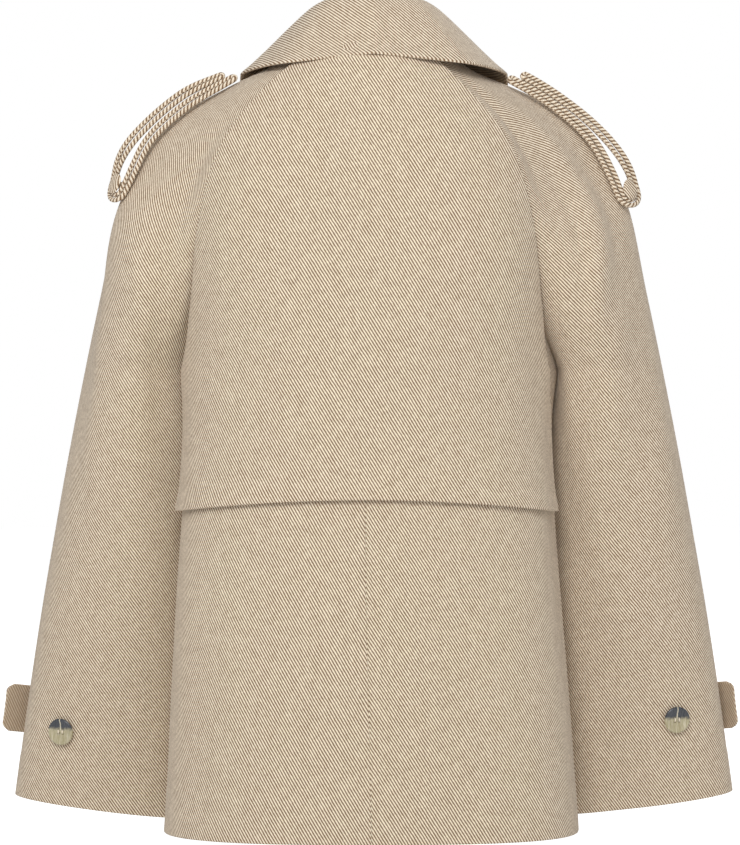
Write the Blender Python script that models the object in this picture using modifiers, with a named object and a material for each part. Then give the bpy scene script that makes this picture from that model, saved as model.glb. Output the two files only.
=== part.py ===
"""Twill jacket with raglan sleeves, a storm flap, a turned-down collar and shoulder cords.

The jacket is filled out and hollow, as if worn. Metres, +Z up. The fronts face -Y, the back
faces +Y and the wearer's left is +X. The origin lies inside the neck, level with the shoulders.

Every panel hangs between two seams. A seam is a short table with a row for each level, and
a row of a panel is one curve from seam to seam, with the heading that the cloth has there.
"""

import math

import bmesh
import bpy
import numpy as np
from mathutils import Matrix, Vector

MM = 0.001

# ---- Driving dimensions, in metres ---------------------------------------------------------
WALL = 2.5 * MM  # thickness of the coating twill, with its inner side
COLLAR_WALL = 2.8 * MM
SEAM_GAP = 0.3 * MM
MERGE = 0.00005
UNDER_STEP = 6.5 * MM  # how far the left front lies under the right one
TUCK_ACROSS = -46 * MM, -4 * MM  # where, from the centre, the left front goes under
TUCK_LEVELS = 3.6, 4.4
UNDERARM_EASE = 0.6 * MM  # keeps the sleeve off the body just below the underarm
BODY_TURN = 7 * MM  # how far the back has turned to the wearer's left
HEM_TURN = 0.35  # share of that turn at the hem
TURN_STARTS = -6 * MM, 26 * MM  # where the turn starts and is full, from the side backward
TURN_NECK = -30 * MM, 20 * MM  # the same downward from the neck
TURN_FADES = -640 * MM, -400 * MM  # heights between which it fades to the hem's share
STRAND_RADIUS = 2.1 * MM
BUTTON_EASE = 0.7 * MM  # how far a button stands off the middle of the cloth under it

RIGHT_SLEEVE_LIFT = 3.4 * MM  # how much higher the right cuff sits
LIFT_HEIGHTS = 360 * MM, 560 * MM  # below the origin, where that lift starts and is full

# ---- Levels --------------------------------------------------------------------------------
UNDERARM = 7  # level of the underarm point; 0 is the neck seam
LAST = 12  # level of the hem on the body and of the cuff edge on the sleeve
FLAP_HEM = 9  # level of the storm flap's lower edge
STEPS = 2  # mesh rows from one level to the next


def table(columns, *rows):
    """Named columns, in millimetres and degrees, from one row for each level."""
    return dict(zip(columns.split(), np.array(rows, float).T))


# Centre back, from the neck seam to the hem
CENTRE_BACK = table(
    "y z",
    (60, 28), (80, 8), (90, -28), (95, -60), (99, -98), (102, -143),
    (104, -203), (105, -256), (105, -306), (106, -363), (109, -456), (113, -548), (118, -642),
)
# Back raglan seam, from the neck seam to the underarm. The turns are headings in plan:
# 0 runs to the side, 90 runs forward and -90 runs backward.
RAGLAN_BACK = table(
    "x y z body_turn sleeve_turn",
    (31.5, 52.6, 24.2, 24, 24), (51.8, 65.8, 3.4, 27, 27), (84.6, 71.8, -27.8, 32, 32),
    (111.3, 72.2, -60, 38, 36), (128, 68, -97, 48, 34), (138, 58, -142, 62, 0),
    (146, 34, -202, 75, -50), (156, -8, -256, 92, -78),
)
# Side seam, from the underarm to the hem, with the headings of the back and the front there
SIDE = table(
    "x y z back_turn front_turn",
    (156, -8, -256, 92, 98), (152, -2, -306, 98, 102), (155.5, 4, -375, 97, 101),
    (162, 8, -458, 94, 97), (169, 10, -549, 93, 94), (175, 12, -644, 93, 93),
)
# Overarm seam, from the neck seam over the shoulder to the cuff
OVERARM = table(
    "x y z",
    (60, 4, 14), (85, 3, -2), (118, 0, -15), (157, -4, -34), (194, -8, -67), (217, -13, -116),
    (233, -24, -185), (248, -34, -252),
    (263, -44, -324), (277, -54, -396), (290, -62, -468), (302, -70, -542), (314, -76, -625),
)
# Underarm seam of the sleeve, from the underarm to the cuff
UNDERSEAM = table(
    "x y z turn",
    (156, -8, -256, -78), (146, -34, -336, -74), (149, -50, -414, -79), (153, -62, -492, -84),
    (157, -71, -570, -88), (160, -78, -645, -90),
)
# Front raglan seam, from the neck seam to the underarm; 180 runs to the other side
RAGLAN_FRONT = table(
    "x y z body_turn sleeve_turn",
    (57, -36, 2, 150, 150), (74, -48, -14, 150, 150), (88, -60, -38, 152, 152),
    (101, -72, -68, 154, 155), (115, -80, -104, 148, 162), (131, -76, -150, 125, 190),
    (147, -50, -208, 108, 225), (156, -8, -256, 98, 282),
)
# Front edge: the roll line of the lapel down to the break at level 6, then straight down
FRONT_EDGE = table(
    "x y z",
    (50, -54, -12), (42, -66, -38), (31, -79, -70), (19, -90, -104), (6, -100, -140),
    (-8, -109, -180), (-22, -115, -218), (-22, -117, -256), (-22, -118, -306),
    (-22, -117, -373), (-22, -119, -458), (-22, -123, -549), (-22, -127, -640),
)
# Panels: their seams at both sides, the fullness there, mesh columns and usual width in mm
PANELS = dict(
    back=dict(seams=("centre", "back"), full=("back_centre", "back_side"), columns=10, span=190),
    sleeve_back=dict(
        seams=("sleeve_in", "over"), full=("sleeve_back", "over"), columns=7, span=150
    ),
    sleeve_front=dict(
        seams=("over", "sleeve_out"), full=("over", "sleeve_front"), columns=7, span=150
    ),
    front=dict(seams=("front", "edge"), full=("front_side", "front_centre"), columns=8, span=190),
)
# How far a row runs straight from its ends before it bends, as a share of its span
FULLNESS = table(
    "back_centre back_side sleeve_back sleeve_front over front_side front_centre",
    (0.45, 0.35, 0.36, 0.36, 0.30, 0.36, 0.36), (0.45, 0.35, 0.40, 0.38, 0.24, 0.36, 0.36),
    (0.45, 0.35, 0.42, 0.40, 0.23, 0.36, 0.36), (0.45, 0.35, 0.46, 0.44, 0.23, 0.36, 0.36),
    (0.45, 0.33, 0.52, 0.50, 0.23, 0.36, 0.36), (0.45, 0.33, 0.60, 0.58, 0.26, 0.36, 0.36),
    (0.46, 0.33, 0.70, 0.70, 0.38, 0.36, 0.38), (0.48, 0.34, 0.88, 0.80, 0.62, 0.40, 0.40),
    (0.50, 0.34, 0.76, 0.72, 0.62, 0.40, 0.44), (0.50, 0.34, 0.64, 0.62, 0.56, 0.40, 0.46),
    (0.50, 0.34, 0.54, 0.54, 0.48, 0.40, 0.46), (0.50, 0.34, 0.44, 0.46, 0.40, 0.40, 0.46),
    (0.50, 0.34, 0.36, 0.38, 0.34, 0.40, 0.46),
)
# Collar, by station round the neck: centre back, back seam, shoulder, front seam, front end.
# The base is its seam with the stand, the fold its highest line, the edge its outer line.
COLLAR = table(
    "base_x base_y base_z fold_x fold_y fold_z edge_x edge_y edge_z",
    (0, 49, 50, 0, 53, 58, 0, 86, 13),
    (31, 40, 48, 33, 44, 55.6, 74, 73, 8),
    (47, 4, 40, 53, 4, 48, 114, 0, -4),
    (47, -34, 12, 54, -38, 17, 116, -44, -24),
    (44, -48, -5, 50, -56, 1, 101, -82, -62),
)
# Lapel, from the gorge seam to the break: the levels of its roll line and of its outer edge,
# and how far the edge lies from the roll line
LAPEL = table(
    "roll edge width",
    (0.6, 2.5, 90), (1.2, 3.1, 86), (2.1, 3.8, 76), (3.1, 4.4, 58), (4.1, 5.0, 36),
    (4.9, 5.5, 17), (5.7, 5.85, 4),
)
LAPEL_ENDS = {1: 4, -1: 6}  # last row: the left lapel ends where the right front crosses it
# Largest folds: side (1 left, -1 right), panel, where each starts and ends across its panel
# and by level, how wide and how deep it is
FOLDS = [
    dict(side=1, panel="sleeve_back", across=(0.16, 0.24), level=(3.2, 9.5), width=15, depth=5),
    dict(side=1, panel="sleeve_front", across=(0.62, 0.70), level=(5.0, 10.5), width=17, depth=5),
    dict(side=-1, panel="sleeve_back", across=(0.20, 0.30), level=(2.2, 8.5), width=14, depth=6),
    dict(side=-1, panel="sleeve_back", across=(0.60, 0.55), level=(3.4, 6.6), width=16, depth=4),
    dict(side=-1, panel="sleeve_back", across=(0.62, 0.44), level=(7.4, 9.4), width=18, depth=3),
    dict(side=-1, panel="sleeve_back", across=(0.45, 0.36), level=(9.8, 12.6), width=20, depth=3),
    dict(side=-1, panel="sleeve_front", across=(0.58, 0.66), level=(4.6, 10.0), width=17, depth=5),
    dict(side=1, panel="front", across=(0.30, 0.36), level=(8.2, 12.8), width=22, depth=4),
    dict(side=-1, panel="front", across=(0.34, 0.30), level=(8.6, 12.8), width=24, depth=4),
]
FLAP_TOP = 0.2  # level at which the flap goes into the neck seam
# Share of the back that the flap leaves bare at its side, by level, left (1) and right (-1)
FLAP_SHORT = {
    1: [0.003, 0.003, 0.003, 0.004, 0.006, 0.016, 0.05, 0.105, 0.085, 0.075],
    -1: [0.003, 0.003, 0.003, 0.004, 0.006, 0.012, 0.038, 0.11, 0.094, 0.055],
}
FLAP_EASE = 0.6 * MM  # how far the flap is off the back
FLAP_SIDE_EASE = 1.6 * MM  # the same at its free sides
LAPEL_EASE = 1.7 * MM  # how far a lapel is off the front
LAY_EASE = 0.8 * MM  # how far a piece that lies on curved cloth is off it
COLLAR_ROLL = 0.18  # share of the collar's width inside its fold
CORD_START_LEVEL = {1: 1.81, -1: 2.01}  # where the shoulder cord starts on the overarm seam
CORD_STAGGER = 7 * MM  # how much later the outer run starts
# degrees between the cord's plane and the cloth, at the neck, half way and at the knot
CORD_TILTS = {1: (32, 56, 26), -1: (45, 36, 26)}
CORD_BULGE = 2 * MM  # how far the cord stands off at the knot
CORD_NECK_LIFT = {1: 0.0, -1: 4.8 * MM}  # the same at its neck end, left and right
CORD_LENGTH = 138 * MM
CORD_SPREAD = 9.3 * MM  # between the middles of the cord's two runs
KNOT_SPREAD = 16 * MM  # the same beside the knot
KNOT_INSIDE = 3 * MM  # from the end of the loop to the middle of its knot
CORD_INSET = {1: 27 * MM, -1: 17.5 * MM}  # from the overarm seam back to the cord's middle
STRAP_LEVEL = 11.12  # level of the strap's middle on the sleeve
STRAP_LEVELS = 0.52  # the strap's width in levels, about 38 mm
STRAP_LEAVES = 30 * MM  # how far before the overarm seam the strap leaves the sleeve
STRAP_FREE_END = {1: 39 * MM, -1: 31 * MM}  # the part that stands off the sleeve
STRAP_BACK = {1: 2 * MM, -1: 7 * MM}  # how far the free ends bend back
STRAP_TIP = ((0.5, 1.0), (0.86, 0.96), (1.0, 0.72))  # places along the free end, share of width
# Cuff buttons: place across the sleeve's back and level
CUFF_BUTTONS = {1: (0.675, 11.21), -1: (0.635, 11.10)}
FRONT_BUTTON_LEVELS = (6.55, 8.0, 9.35)
# Radius and height of turned pieces, in mm
BUTTON_PROFILE = [
    (0, 3.0), (5.5, 3.1), (8.4, 3.9), (10.0, 4.2), (11.2, 3.7), (11.5, 2.7), (10.6, 1.2),
    (8.0, 0.2), (0, 0),
]
KNOT_PROFILE = [  # height 0 is the middle of the cord
    (0, 5.8), (3.8, 5.5), (6.4, 4.6), (7.2, 3.5), (6.4, 2.7), (3.2, 2.5), (2.5, 1.6), (2.5, -7.9),
    (0, -7.9),
]
KNOT_STRETCH = 1.25  # how much longer it is along the cord
# Colour and roughness
TWILL = (0.56, 0.44, 0.31), 0.95
TWILL_UNDER = (0.50, 0.39, 0.28), 0.95
ROULEAU = (0.58, 0.46, 0.33), 0.95
HORN = (0.20, 0.18, 0.13), 0.35


# ---- Curves and panels ---------------------------------------------------------------------
def smooth(values, t):
    """The curve through values at 0, 1, 2 and so on, read at t, without overshoot."""
    values = np.asarray(values, float)
    step = np.diff(values)
    slope = np.zeros(len(values))
    slope[0], slope[-1] = step[0], step[-1]
    rising = step[:-1] * step[1:] > 0
    product, total = step[:-1] * step[1:], step[:-1] + step[1:]
    slope[1:-1][rising] = 2 * product[rising] / total[rising]
    i = np.clip(np.floor(t).astype(int), 0, len(step) - 1)
    f = t - i
    start = (1 + 2 * f) * (1 - f) ** 2 * values[i] + f * (1 - f) ** 2 * slope[i]
    return start + f * f * (3 - 2 * f) * values[i + 1] + f * f * (f - 1) * slope[i + 1]


def ramp(value, low, high):
    """0 below low and 1 above high, with a soft start and end."""
    f = np.clip((value - low) / (high - low), 0, 1)
    return f * f * (3 - 2 * f)


def column(seam, name, t, lower=None):
    """A column of a seam at level t; a lower seam takes over at the underarm."""
    if lower is None:
        return smooth(seam[name], t)
    above = smooth(seam[name], np.minimum(t, UNDERARM))
    return np.where(t <= UNDERARM, above, smooth(lower[name], np.maximum(t - UNDERARM, 0)))


def points(seam, t, lower=None, ease=0.0):
    """The points of a seam at the levels t, in metres; ease moves it sideways at the underarm."""
    xyz = np.stack([column(seam, axis, t, lower) for axis in "xyz"], -1) * MM
    xyz[..., 0] += ease * ramp(t, UNDERARM - 1.0, UNDERARM)
    return xyz


def plan_length(a, b):
    return np.linalg.norm((b - a)[..., :2], axis=-1)


def bezier(a, b, c, d, f):
    """The cubic curve of four control points, read at f from 0 to 1."""
    f = np.asarray(f)[..., None]
    return (1 - f) ** 3 * a + 3 * f * (1 - f) ** 2 * b + 3 * f * f * (1 - f) * c + f**3 * d


def row(start, end, leave, arrive, pulls, slopes, u):
    """A cubic curve from seam to seam. Headings in degrees, pulls as shares of the span."""
    span = plan_length(start, end)
    handles = []
    for heading, pull, slope in zip((leave, arrive), pulls, slopes):
        angle = np.radians(heading)
        direction = np.stack([np.cos(angle), -np.sin(angle), slope], -1)
        handles.append(direction * (span * pull)[..., None])
    return bezier(start, start + handles[0], end - handles[1], end, u)


def slope_at(before, here, after, t):
    """How steeply a row climbs through a seam, the same on both sides of it."""
    run = plan_length(before, here) + plan_length(here, after)
    return (after - before)[..., 2] / run * ramp(-t, -UNDERARM, 1 - UNDERARM)


def seams_at(t):
    """The points of every seam at the levels t, by name."""
    back = np.stack(
        [np.zeros_like(t), smooth(CENTRE_BACK["y"], t), smooth(CENTRE_BACK["z"], t)], -1
    )
    return dict(
        centre=back * MM,
        back=points(RAGLAN_BACK, t, SIDE, -UNDERARM_EASE),
        sleeve_in=points(RAGLAN_BACK, t, UNDERSEAM, UNDERARM_EASE),
        over=points(OVERARM, t),
        sleeve_out=points(RAGLAN_FRONT, t, UNDERSEAM, UNDERARM_EASE),
        front=points(RAGLAN_FRONT, t, SIDE, -UNDERARM_EASE),
        edge=points(FRONT_EDGE, t),
    )


def turn_at(seam, name, t, lower, lower_name, whole_turns=0):
    """The heading of the cloth at a seam, and at the seam that takes over at the underarm."""
    above = smooth(seam[name], np.minimum(t, UNDERARM))
    below = smooth(lower[lower_name], np.maximum(t - UNDERARM, 0)) + 360 * whole_turns
    return np.where(t <= UNDERARM, above, below)


def panel_row(panel, u, t):
    """Points of the left half's panel at u, 0 to 1 from its back seam, and the levels t."""
    at = seams_at(t)
    full = {name: smooth(FULLNESS[name], t) for name in FULLNESS}
    level = np.zeros_like(t)
    back_slope = slope_at(at["centre"], at["back"], at["over"], t)
    over_slope = slope_at(at["back"], at["over"], at["front"], t)
    front_slope = slope_at(at["over"], at["front"], at["edge"], t)
    if panel == "back":
        arrive = turn_at(RAGLAN_BACK, "body_turn", t, SIDE, "back_turn")
        pulls = full["back_centre"], full["back_side"]
        return row(at["centre"], at["back"], level, arrive, pulls, (level, back_slope), u)
    if panel == "sleeve_back":
        leave = turn_at(RAGLAN_BACK, "sleeve_turn", t, UNDERSEAM, "turn")
        pulls = full["sleeve_back"], full["over"]
        slopes = back_slope, over_slope
        return row(at["sleeve_in"], at["over"], leave, level + 90, pulls, slopes, u)
    if panel == "sleeve_front":
        arrive = turn_at(RAGLAN_FRONT, "sleeve_turn", t, UNDERSEAM, "turn", 1)
        pulls = full["over"], full["sleeve_front"]
        slopes = over_slope, front_slope
        return row(at["over"], at["sleeve_out"], level + 90, arrive, pulls, slopes, u)
    leave = turn_at(RAGLAN_FRONT, "body_turn", t, SIDE, "front_turn")
    pulls = full["front_side"], full["front_centre"]
    return row(at["front"], at["edge"], leave, level + 180, pulls, (front_slope, level), u)


def settled(xyz, side):
    """Mirrors the left half to its side, and turns the back as the empty jacket has settled."""
    xyz = xyz * np.array([side, 1, 1])
    x, y, z = xyz[..., 0], xyz[..., 1], xyz[..., 2]
    low = HEM_TURN + (1 - HEM_TURN) * ramp(z, *TURN_FADES)
    shift = BODY_TURN * ramp(y, *TURN_STARTS) * ramp(-z, *TURN_NECK) * low
    return np.stack([x + shift, y, z], -1)


def normals(surface, side, u, t):
    """Unit normals of a surface of u and t on its outer side."""
    tiny = 1e-4
    along_u = surface(np.minimum(u + tiny, 1), t) - surface(np.maximum(u - tiny, 0), t)
    along_t = surface(u, np.minimum(t + tiny, LAST)) - surface(u, np.maximum(t - tiny, 0))
    cross = np.cross(along_u, along_t) * side
    return cross / np.linalg.norm(cross, axis=-1, keepdims=True)


def fold_depth(panel, side, u, t):
    """How far the largest folds sink into a panel."""
    depth = np.zeros_like(t)
    for fold in FOLDS:
        if fold["side"] != side or fold["panel"] != panel:
            continue
        first, last = fold["level"]
        share = np.clip((t - first) / (last - first), 0, 1)
        middle = fold["across"][0] + share * (fold["across"][1] - fold["across"][0])
        away = (u - middle) * PANELS[panel]["span"] / fold["width"]
        depth += fold["depth"] * MM * np.sin(np.pi * share) * np.exp(-(away**2))
    return depth * ramp(u, 0, 0.08) * ramp(1 - u, 0, 0.08)


class Panel:
    """One panel on one side, as a surface of u and t."""

    def __init__(self, panel, side):
        self.panel, self.side = panel, side

    def plain(self, u, t):
        """The panel's points without its folds."""
        xyz = panel_row(self.panel, u, t)
        if self.panel == "front" and self.side > 0:
            tucked = ramp(-xyz[..., 0], *TUCK_ACROSS) * ramp(t, *TUCK_LEVELS)
            xyz[..., 1] += UNDER_STEP * tucked
        if self.panel.startswith("sleeve") and self.side < 0:
            xyz[..., 2] += RIGHT_SLEEVE_LIFT * ramp(-xyz[..., 2], *LIFT_HEIGHTS)
        return settled(xyz, self.side)

    def __call__(self, u, t):
        depth = fold_depth(self.panel, self.side, u, t)
        return self.plain(u, t) - normals(self.plain, self.side, u, t) * depth[..., None]

    def out(self, u, t):
        return normals(self, self.side, u, t)


# ---- Meshes --------------------------------------------------------------------------------
def material(name, colour, roughness):
    made = bpy.data.materials.new(name)
    made.use_nodes = True
    shader = made.node_tree.nodes["Principled BSDF"]
    shader.inputs["Base Color"].default_value = (*colour, 1)
    shader.inputs["Roughness"].default_value = roughness
    made.diffuse_color = (*colour, 1)
    return made


def add_object(group, name, data, look):
    """Adds a sub-part with its own material; group is the collection and its root."""
    collection, root = group
    thing = bpy.data.objects.new(name, data)
    data.materials.append(material(name + "_finish", *look))
    collection.objects.link(thing)
    thing.parent = root
    return thing


def wall(name, outer, inner):
    """A closed wall between two grids of points, outer and inner."""
    rows, cols = outer.shape[:2]
    mesh = bpy.data.meshes.new(name)
    work = bmesh.new()
    grids = [
        [[work.verts.new(grid[i, j]) for j in range(cols)] for i in range(rows)]
        for grid in (outer, inner)
    ]
    for grid in grids:
        for i in range(rows - 1):
            for j in range(cols - 1):
                work.faces.new((grid[i][j], grid[i][j + 1], grid[i + 1][j + 1], grid[i + 1][j]))
    rim = [(0, j) for j in range(cols)] + [(i, cols - 1) for i in range(1, rows)]
    rim += [(rows - 1, j) for j in range(cols - 2, -1, -1)]
    rim += [(i, 0) for i in range(rows - 2, 0, -1)]
    for (i, j), (k, m) in zip(rim, rim[1:] + rim[:1]):
        work.faces.new((grids[0][i][j], grids[0][k][m], grids[1][k][m], grids[1][i][j]))
    bmesh.ops.triangulate(work, faces=work.faces[:], quad_method="SHORT_EDGE")
    bmesh.ops.recalc_face_normals(work, faces=work.faces[:])
    work.to_mesh(mesh)
    work.free()
    mesh.shade_smooth()
    mesh.set_sharp_from_angle(angle=math.radians(50))
    return mesh


def spread_out(us, ts):
    """Places u and levels t as two grids, a row for each level."""
    u, t = np.broadcast_arrays(us, ts[:, None])
    return u.astype(float), t.astype(float)


def panel_columns(panel, ts, count):
    """Places across a panel for each level, half a seam gap in from both seams."""
    at = seams_at(ts)
    first, last = PANELS[panel]["seams"]
    span = plan_length(at[first], at[last])
    near, far = (
        SEAM_GAP / 2 / (3 * span * smooth(FULLNESS[name], ts)) for name in PANELS[panel]["full"]
    )
    share = np.linspace(0, 1, count + 1)
    return near[:, None] + (1 - near - far)[:, None] * share


def panel_grid(panel, side):
    """The points and normals of a panel, STEPS rows for each level."""
    ts = np.linspace(0, LAST, LAST * STEPS + 1)
    surface = Panel(panel, side)
    u, t = spread_out(panel_columns(panel, ts, PANELS[panel]["columns"]), ts)
    return surface(u, t), surface.out(u, t)


def panel_mesh(name, panel, side):
    outer, out = panel_grid(panel, side)
    return wall(name, outer, outer - out * WALL)


def between(grid, i, j):
    """A point of a grid at whole or part rows i and columns j."""
    low_i = np.minimum(i.astype(int), grid.shape[0] - 2)
    low_j = np.minimum(j.astype(int), grid.shape[1] - 2)
    part_i, part_j = (i - low_i)[..., None], (j - low_j)[..., None]
    top = grid[low_i, low_j] * (1 - part_j) + grid[low_i, low_j + 1] * part_j
    foot = grid[low_i + 1, low_j] * (1 - part_j) + grid[low_i + 1, low_j + 1] * part_j
    return top * (1 - part_i) + foot * part_i


def flap_mesh(name):
    """The storm flap lies on the points of both back panels, moved out."""
    rows = np.concatenate([[FLAP_TOP * STEPS], np.arange(1, FLAP_HEM * STEPS + 1)]).astype(float)
    levels = rows / STEPS
    count = PANELS["back"]["columns"]
    columns = np.tile(np.arange(count + 1.0), (len(rows), 1))
    lift = np.full((len(rows), count + 1, 1), FLAP_EASE)
    lift[:, -1] = FLAP_SIDE_EASE
    layers = []
    for side in (-1, 1):
        columns[:, -1] = count * (1 - smooth(FLAP_SHORT[side], levels))
        i, j = np.broadcast_arrays(rows[:, None], columns)
        outer, out = panel_grid("back", side)
        base, up = between(outer, i, j), between(out, i, j)
        layers.append([base + up * (lift + WALL), base + up * lift])
    right, left = layers
    faces = [np.concatenate([a[:, :0:-1], b], axis=1) for a, b in zip(right, left)]
    return wall(name, *faces)


# ---- Laying pieces on the cloth ------------------------------------------------------------
class Cloth:
    """Neighbouring panels of one side as one sheet, read by distance w along a row and level t."""

    ACROSS, DOWN = 41, 10  # samples across each panel, and for each level

    def __init__(self, side, *panels):
        """panels: the panels in order along w; a name with a minus sign runs backwards."""
        self.levels = np.linspace(0, LAST, LAST * self.DOWN + 1)
        parts = []
        for name in panels:
            share = np.linspace(0, 1, self.ACROSS)
            share = share[::-1] if name.startswith("-") else share
            surface = Panel(name.lstrip("-"), side)
            parts.append(surface(*spread_out(share, self.levels)))
        self.sheet = np.concatenate([parts[0]] + [part[:, 1:] for part in parts[1:]], axis=1)
        step = np.linalg.norm(np.diff(self.sheet, axis=1), axis=-1)
        start = np.zeros((len(self.levels), 1))
        self.run = np.concatenate([start, np.cumsum(step, axis=1)], axis=1)
        across, down = np.gradient(self.sheet, axis=1), np.gradient(self.sheet, axis=0)
        out = np.cross(across, down) * (-side if panels[0].startswith("-") else side)
        self.out = out / np.maximum(np.linalg.norm(out, axis=-1, keepdims=True), 1e-12)

    def read(self, grid, w, t):
        place = np.clip(t * self.DOWN, 0, len(self.levels) - 1.001)
        i = int(place)
        pair = [
            np.array([np.interp(w, self.run[k], grid[k, :, axis]) for axis in range(3)])
            for k in (i, i + 1)
        ]
        return pair[0] * (i + 1 - place) + pair[1] * (place - i)

    def at(self, w, t, lift=0.0):
        """The point at distance w along the row of level t, lifted off the cloth."""
        out = self.read(self.out, w, t)
        return self.read(self.sheet, w, t) + out / np.linalg.norm(out) * lift

    def normal(self, w, t):
        out = self.read(self.out, w, t)
        return out / np.linalg.norm(out)

    def length(self, t):
        return float(np.interp(t, self.levels, self.run[:, -1]))


def lay(cloth, places, lift):
    """Points of a grid of (w, t) places, lifted off the cloth."""
    return np.array([[cloth.at(w, t, lift) for w, t in line] for line in places])


def lapel_mesh(name, side, count):
    """The lapel lies on the front and on the front of the sleeve, from the roll line out."""
    cloth = Cloth(side, "-front", "-sleeve_front")
    last = LAPEL_ENDS[side]
    places = []
    for k in np.linspace(0, last, int(2 * last) + 1):
        roll, edge, width = (smooth(LAPEL[c], np.array(k)) for c in ("roll", "edge", "width"))
        share = np.linspace(0, 1, count + 1)
        places.append([(f * width * MM, roll + (edge - roll) * f) for f in share])
    return wall(name, lay(cloth, places, LAPEL_EASE + WALL), lay(cloth, places, LAPEL_EASE))


def plan_out(a, b):
    """The level direction from a to b."""
    flat = (b - a) * np.array([1, 1, 0])
    return flat / np.linalg.norm(flat, axis=-1, keepdims=True)


def collar_line(name, s):
    """A line of the collar at the stations s, 0 at the centre back."""
    return np.stack([smooth(COLLAR[f"{name}_{axis}"], s) for axis in "xyz"], -1) * MM


def neck_near(s):
    """The neck seam at the collar's stations, from the seams that end there."""
    ends = seams_at(np.zeros(1))
    places = np.concatenate([ends[name] for name in ("centre", "back", "over", "front", "edge")])
    return np.stack([smooth(places[:, axis], s) for axis in range(3)], -1)


def collar_points(s, v):
    """A point of the collar fall: v runs from its seam up over the fold and down to the edge."""
    base, fold, edge = (collar_line(name, s) for name in ("base", "fold", "edge"))
    out = plan_out(base, edge)
    lean = base - neck_near(s)
    lean /= np.linalg.norm(lean, axis=-1, keepdims=True)
    rise = bezier(base, base + lean * 4 * MM, fold - out * 3 * MM, fold, v / COLLAR_ROLL)
    fall = (v - COLLAR_ROLL) / (1 - COLLAR_ROLL)
    drop = edge - fold
    belly = bezier(
        fold, fold + out * 7 * MM, fold + drop * 0.62 - out * MM, edge, fall
    )
    return np.where((v < COLLAR_ROLL)[..., None], rise, belly)


def around_neck(half):
    """Both halves of a piece round the neck, from the right front end to the left."""
    return np.concatenate([(half * np.array([-1, 1, 1]))[:, :0:-1], half], axis=1)


def collar_meshes():
    """The fall and the stand. Their exposed sides face the same way over the fold."""
    s = np.linspace(0, 4, 17)
    v = np.array([0, 0.09, COLLAR_ROLL, 0.30, 0.45, 0.62, 0.80, 1.0])
    stations, rounds = np.broadcast_arrays(s, v[:, None])
    tiny = 1e-3
    face = collar_points(stations, rounds)
    along = collar_points(np.minimum(stations + tiny, 4), rounds)
    along = along - collar_points(np.maximum(stations - tiny, 0), rounds)
    down = collar_points(stations, np.minimum(rounds + tiny, 1))
    down = down - collar_points(stations, np.maximum(rounds - tiny, 0))
    out = np.cross(along, down)
    out[:, 0, 0] = 0
    out /= np.linalg.norm(out, axis=-1, keepdims=True)
    fall = around_neck(face), around_neck(face - out * COLLAR_WALL)

    neck = neck_line(s)
    inward = -plan_out(collar_line("base", s), collar_line("edge", s))
    foot = neck + inward * COLLAR_WALL + np.array([0, 0, 1]) * SEAM_GAP * 2
    top = collar_line("base", s) - np.array([0, 0, 1]) * SEAM_GAP
    share = np.array([0, 0.5, 1.0])[:, None, None]
    inside = foot * (1 - share) + top * share
    stand = around_neck(inside), around_neck(inside - inward * COLLAR_WALL)
    return wall("collar", *fall), wall("collar_stand", *stand)


def neck_line(s):
    """The neck seam of the left half at the collar's stations."""
    points = []
    for station in s:
        index = min(int(station), 3)
        panel = ("back", "sleeve_back", "sleeve_front", "front")[index]
        f = np.array(station - index)
        points.append(panel_row(panel, f, np.zeros_like(f)))
    return np.array(points)


# ---- Shoulder cords, straps and buttons ----------------------------------------------------
def half_circle(centre_w, centre_s, radius, first, last, count):
    """Places on an arc; angles in degrees from +w towards the loop end."""
    for angle in np.radians(np.linspace(first, last, count)):
        yield centre_w + radius * math.cos(angle), centre_s + radius * math.sin(angle)


def cord_places():
    """The doubled loop in the plane of the cord: w across it and s along the shoulder."""
    half = STRAND_RADIUS + SEAM_GAP / 2
    share = np.linspace(0, 1, 12)

    def spread(s):
        return CORD_SPREAD + (KNOT_SPREAD - CORD_SPREAD) * ramp(s, 0.55 * CORD_LENGTH, CORD_LENGTH)

    places = []
    for sign, order in ((-1, 1), (1, -1)):
        first = half + (CORD_STAGGER if sign < 0 else 0)
        along = first + share * (CORD_LENGTH - first)
        outer = [(sign * (spread(s) / 2 + half), s) for s in along]
        inner = [(sign * (spread(s) / 2 - half), s) for s in along]
        turn = list(half_circle(sign * CORD_SPREAD / 2, along[0], half, 180, 360, 5))[1:-1]
        run = outer[::-1] + turn + inner if order > 0 else inner[::-1] + turn + outer
        places += run
        radius = KNOT_SPREAD / 2 + (-half if order > 0 else half)
        ends = (180, 0) if order > 0 else (0, 180)
        places += list(half_circle(0, CORD_LENGTH, radius, *ends, 7 if order < 0 else 5))[1:-1]
    return places


def shoulder_run(cloth):
    """Distance along the overarm seam for each level of the cloth."""
    step = np.linalg.norm(np.diff(cloth.sheet[:, 0], axis=0), axis=1)
    return np.concatenate([[0], np.cumsum(step)])


def cord_tilt(side, s):
    """The angle between the cord's plane and the cloth at s along it, in radians."""
    neck, middle, knot = CORD_TILTS[side]
    rise = float(ramp(s, 0, 0.35 * CORD_LENGTH))
    fall = float(ramp(s, 0.70 * CORD_LENGTH, CORD_LENGTH))
    return math.radians(neck + (middle - neck) * rise + (knot - middle) * fall)


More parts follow.
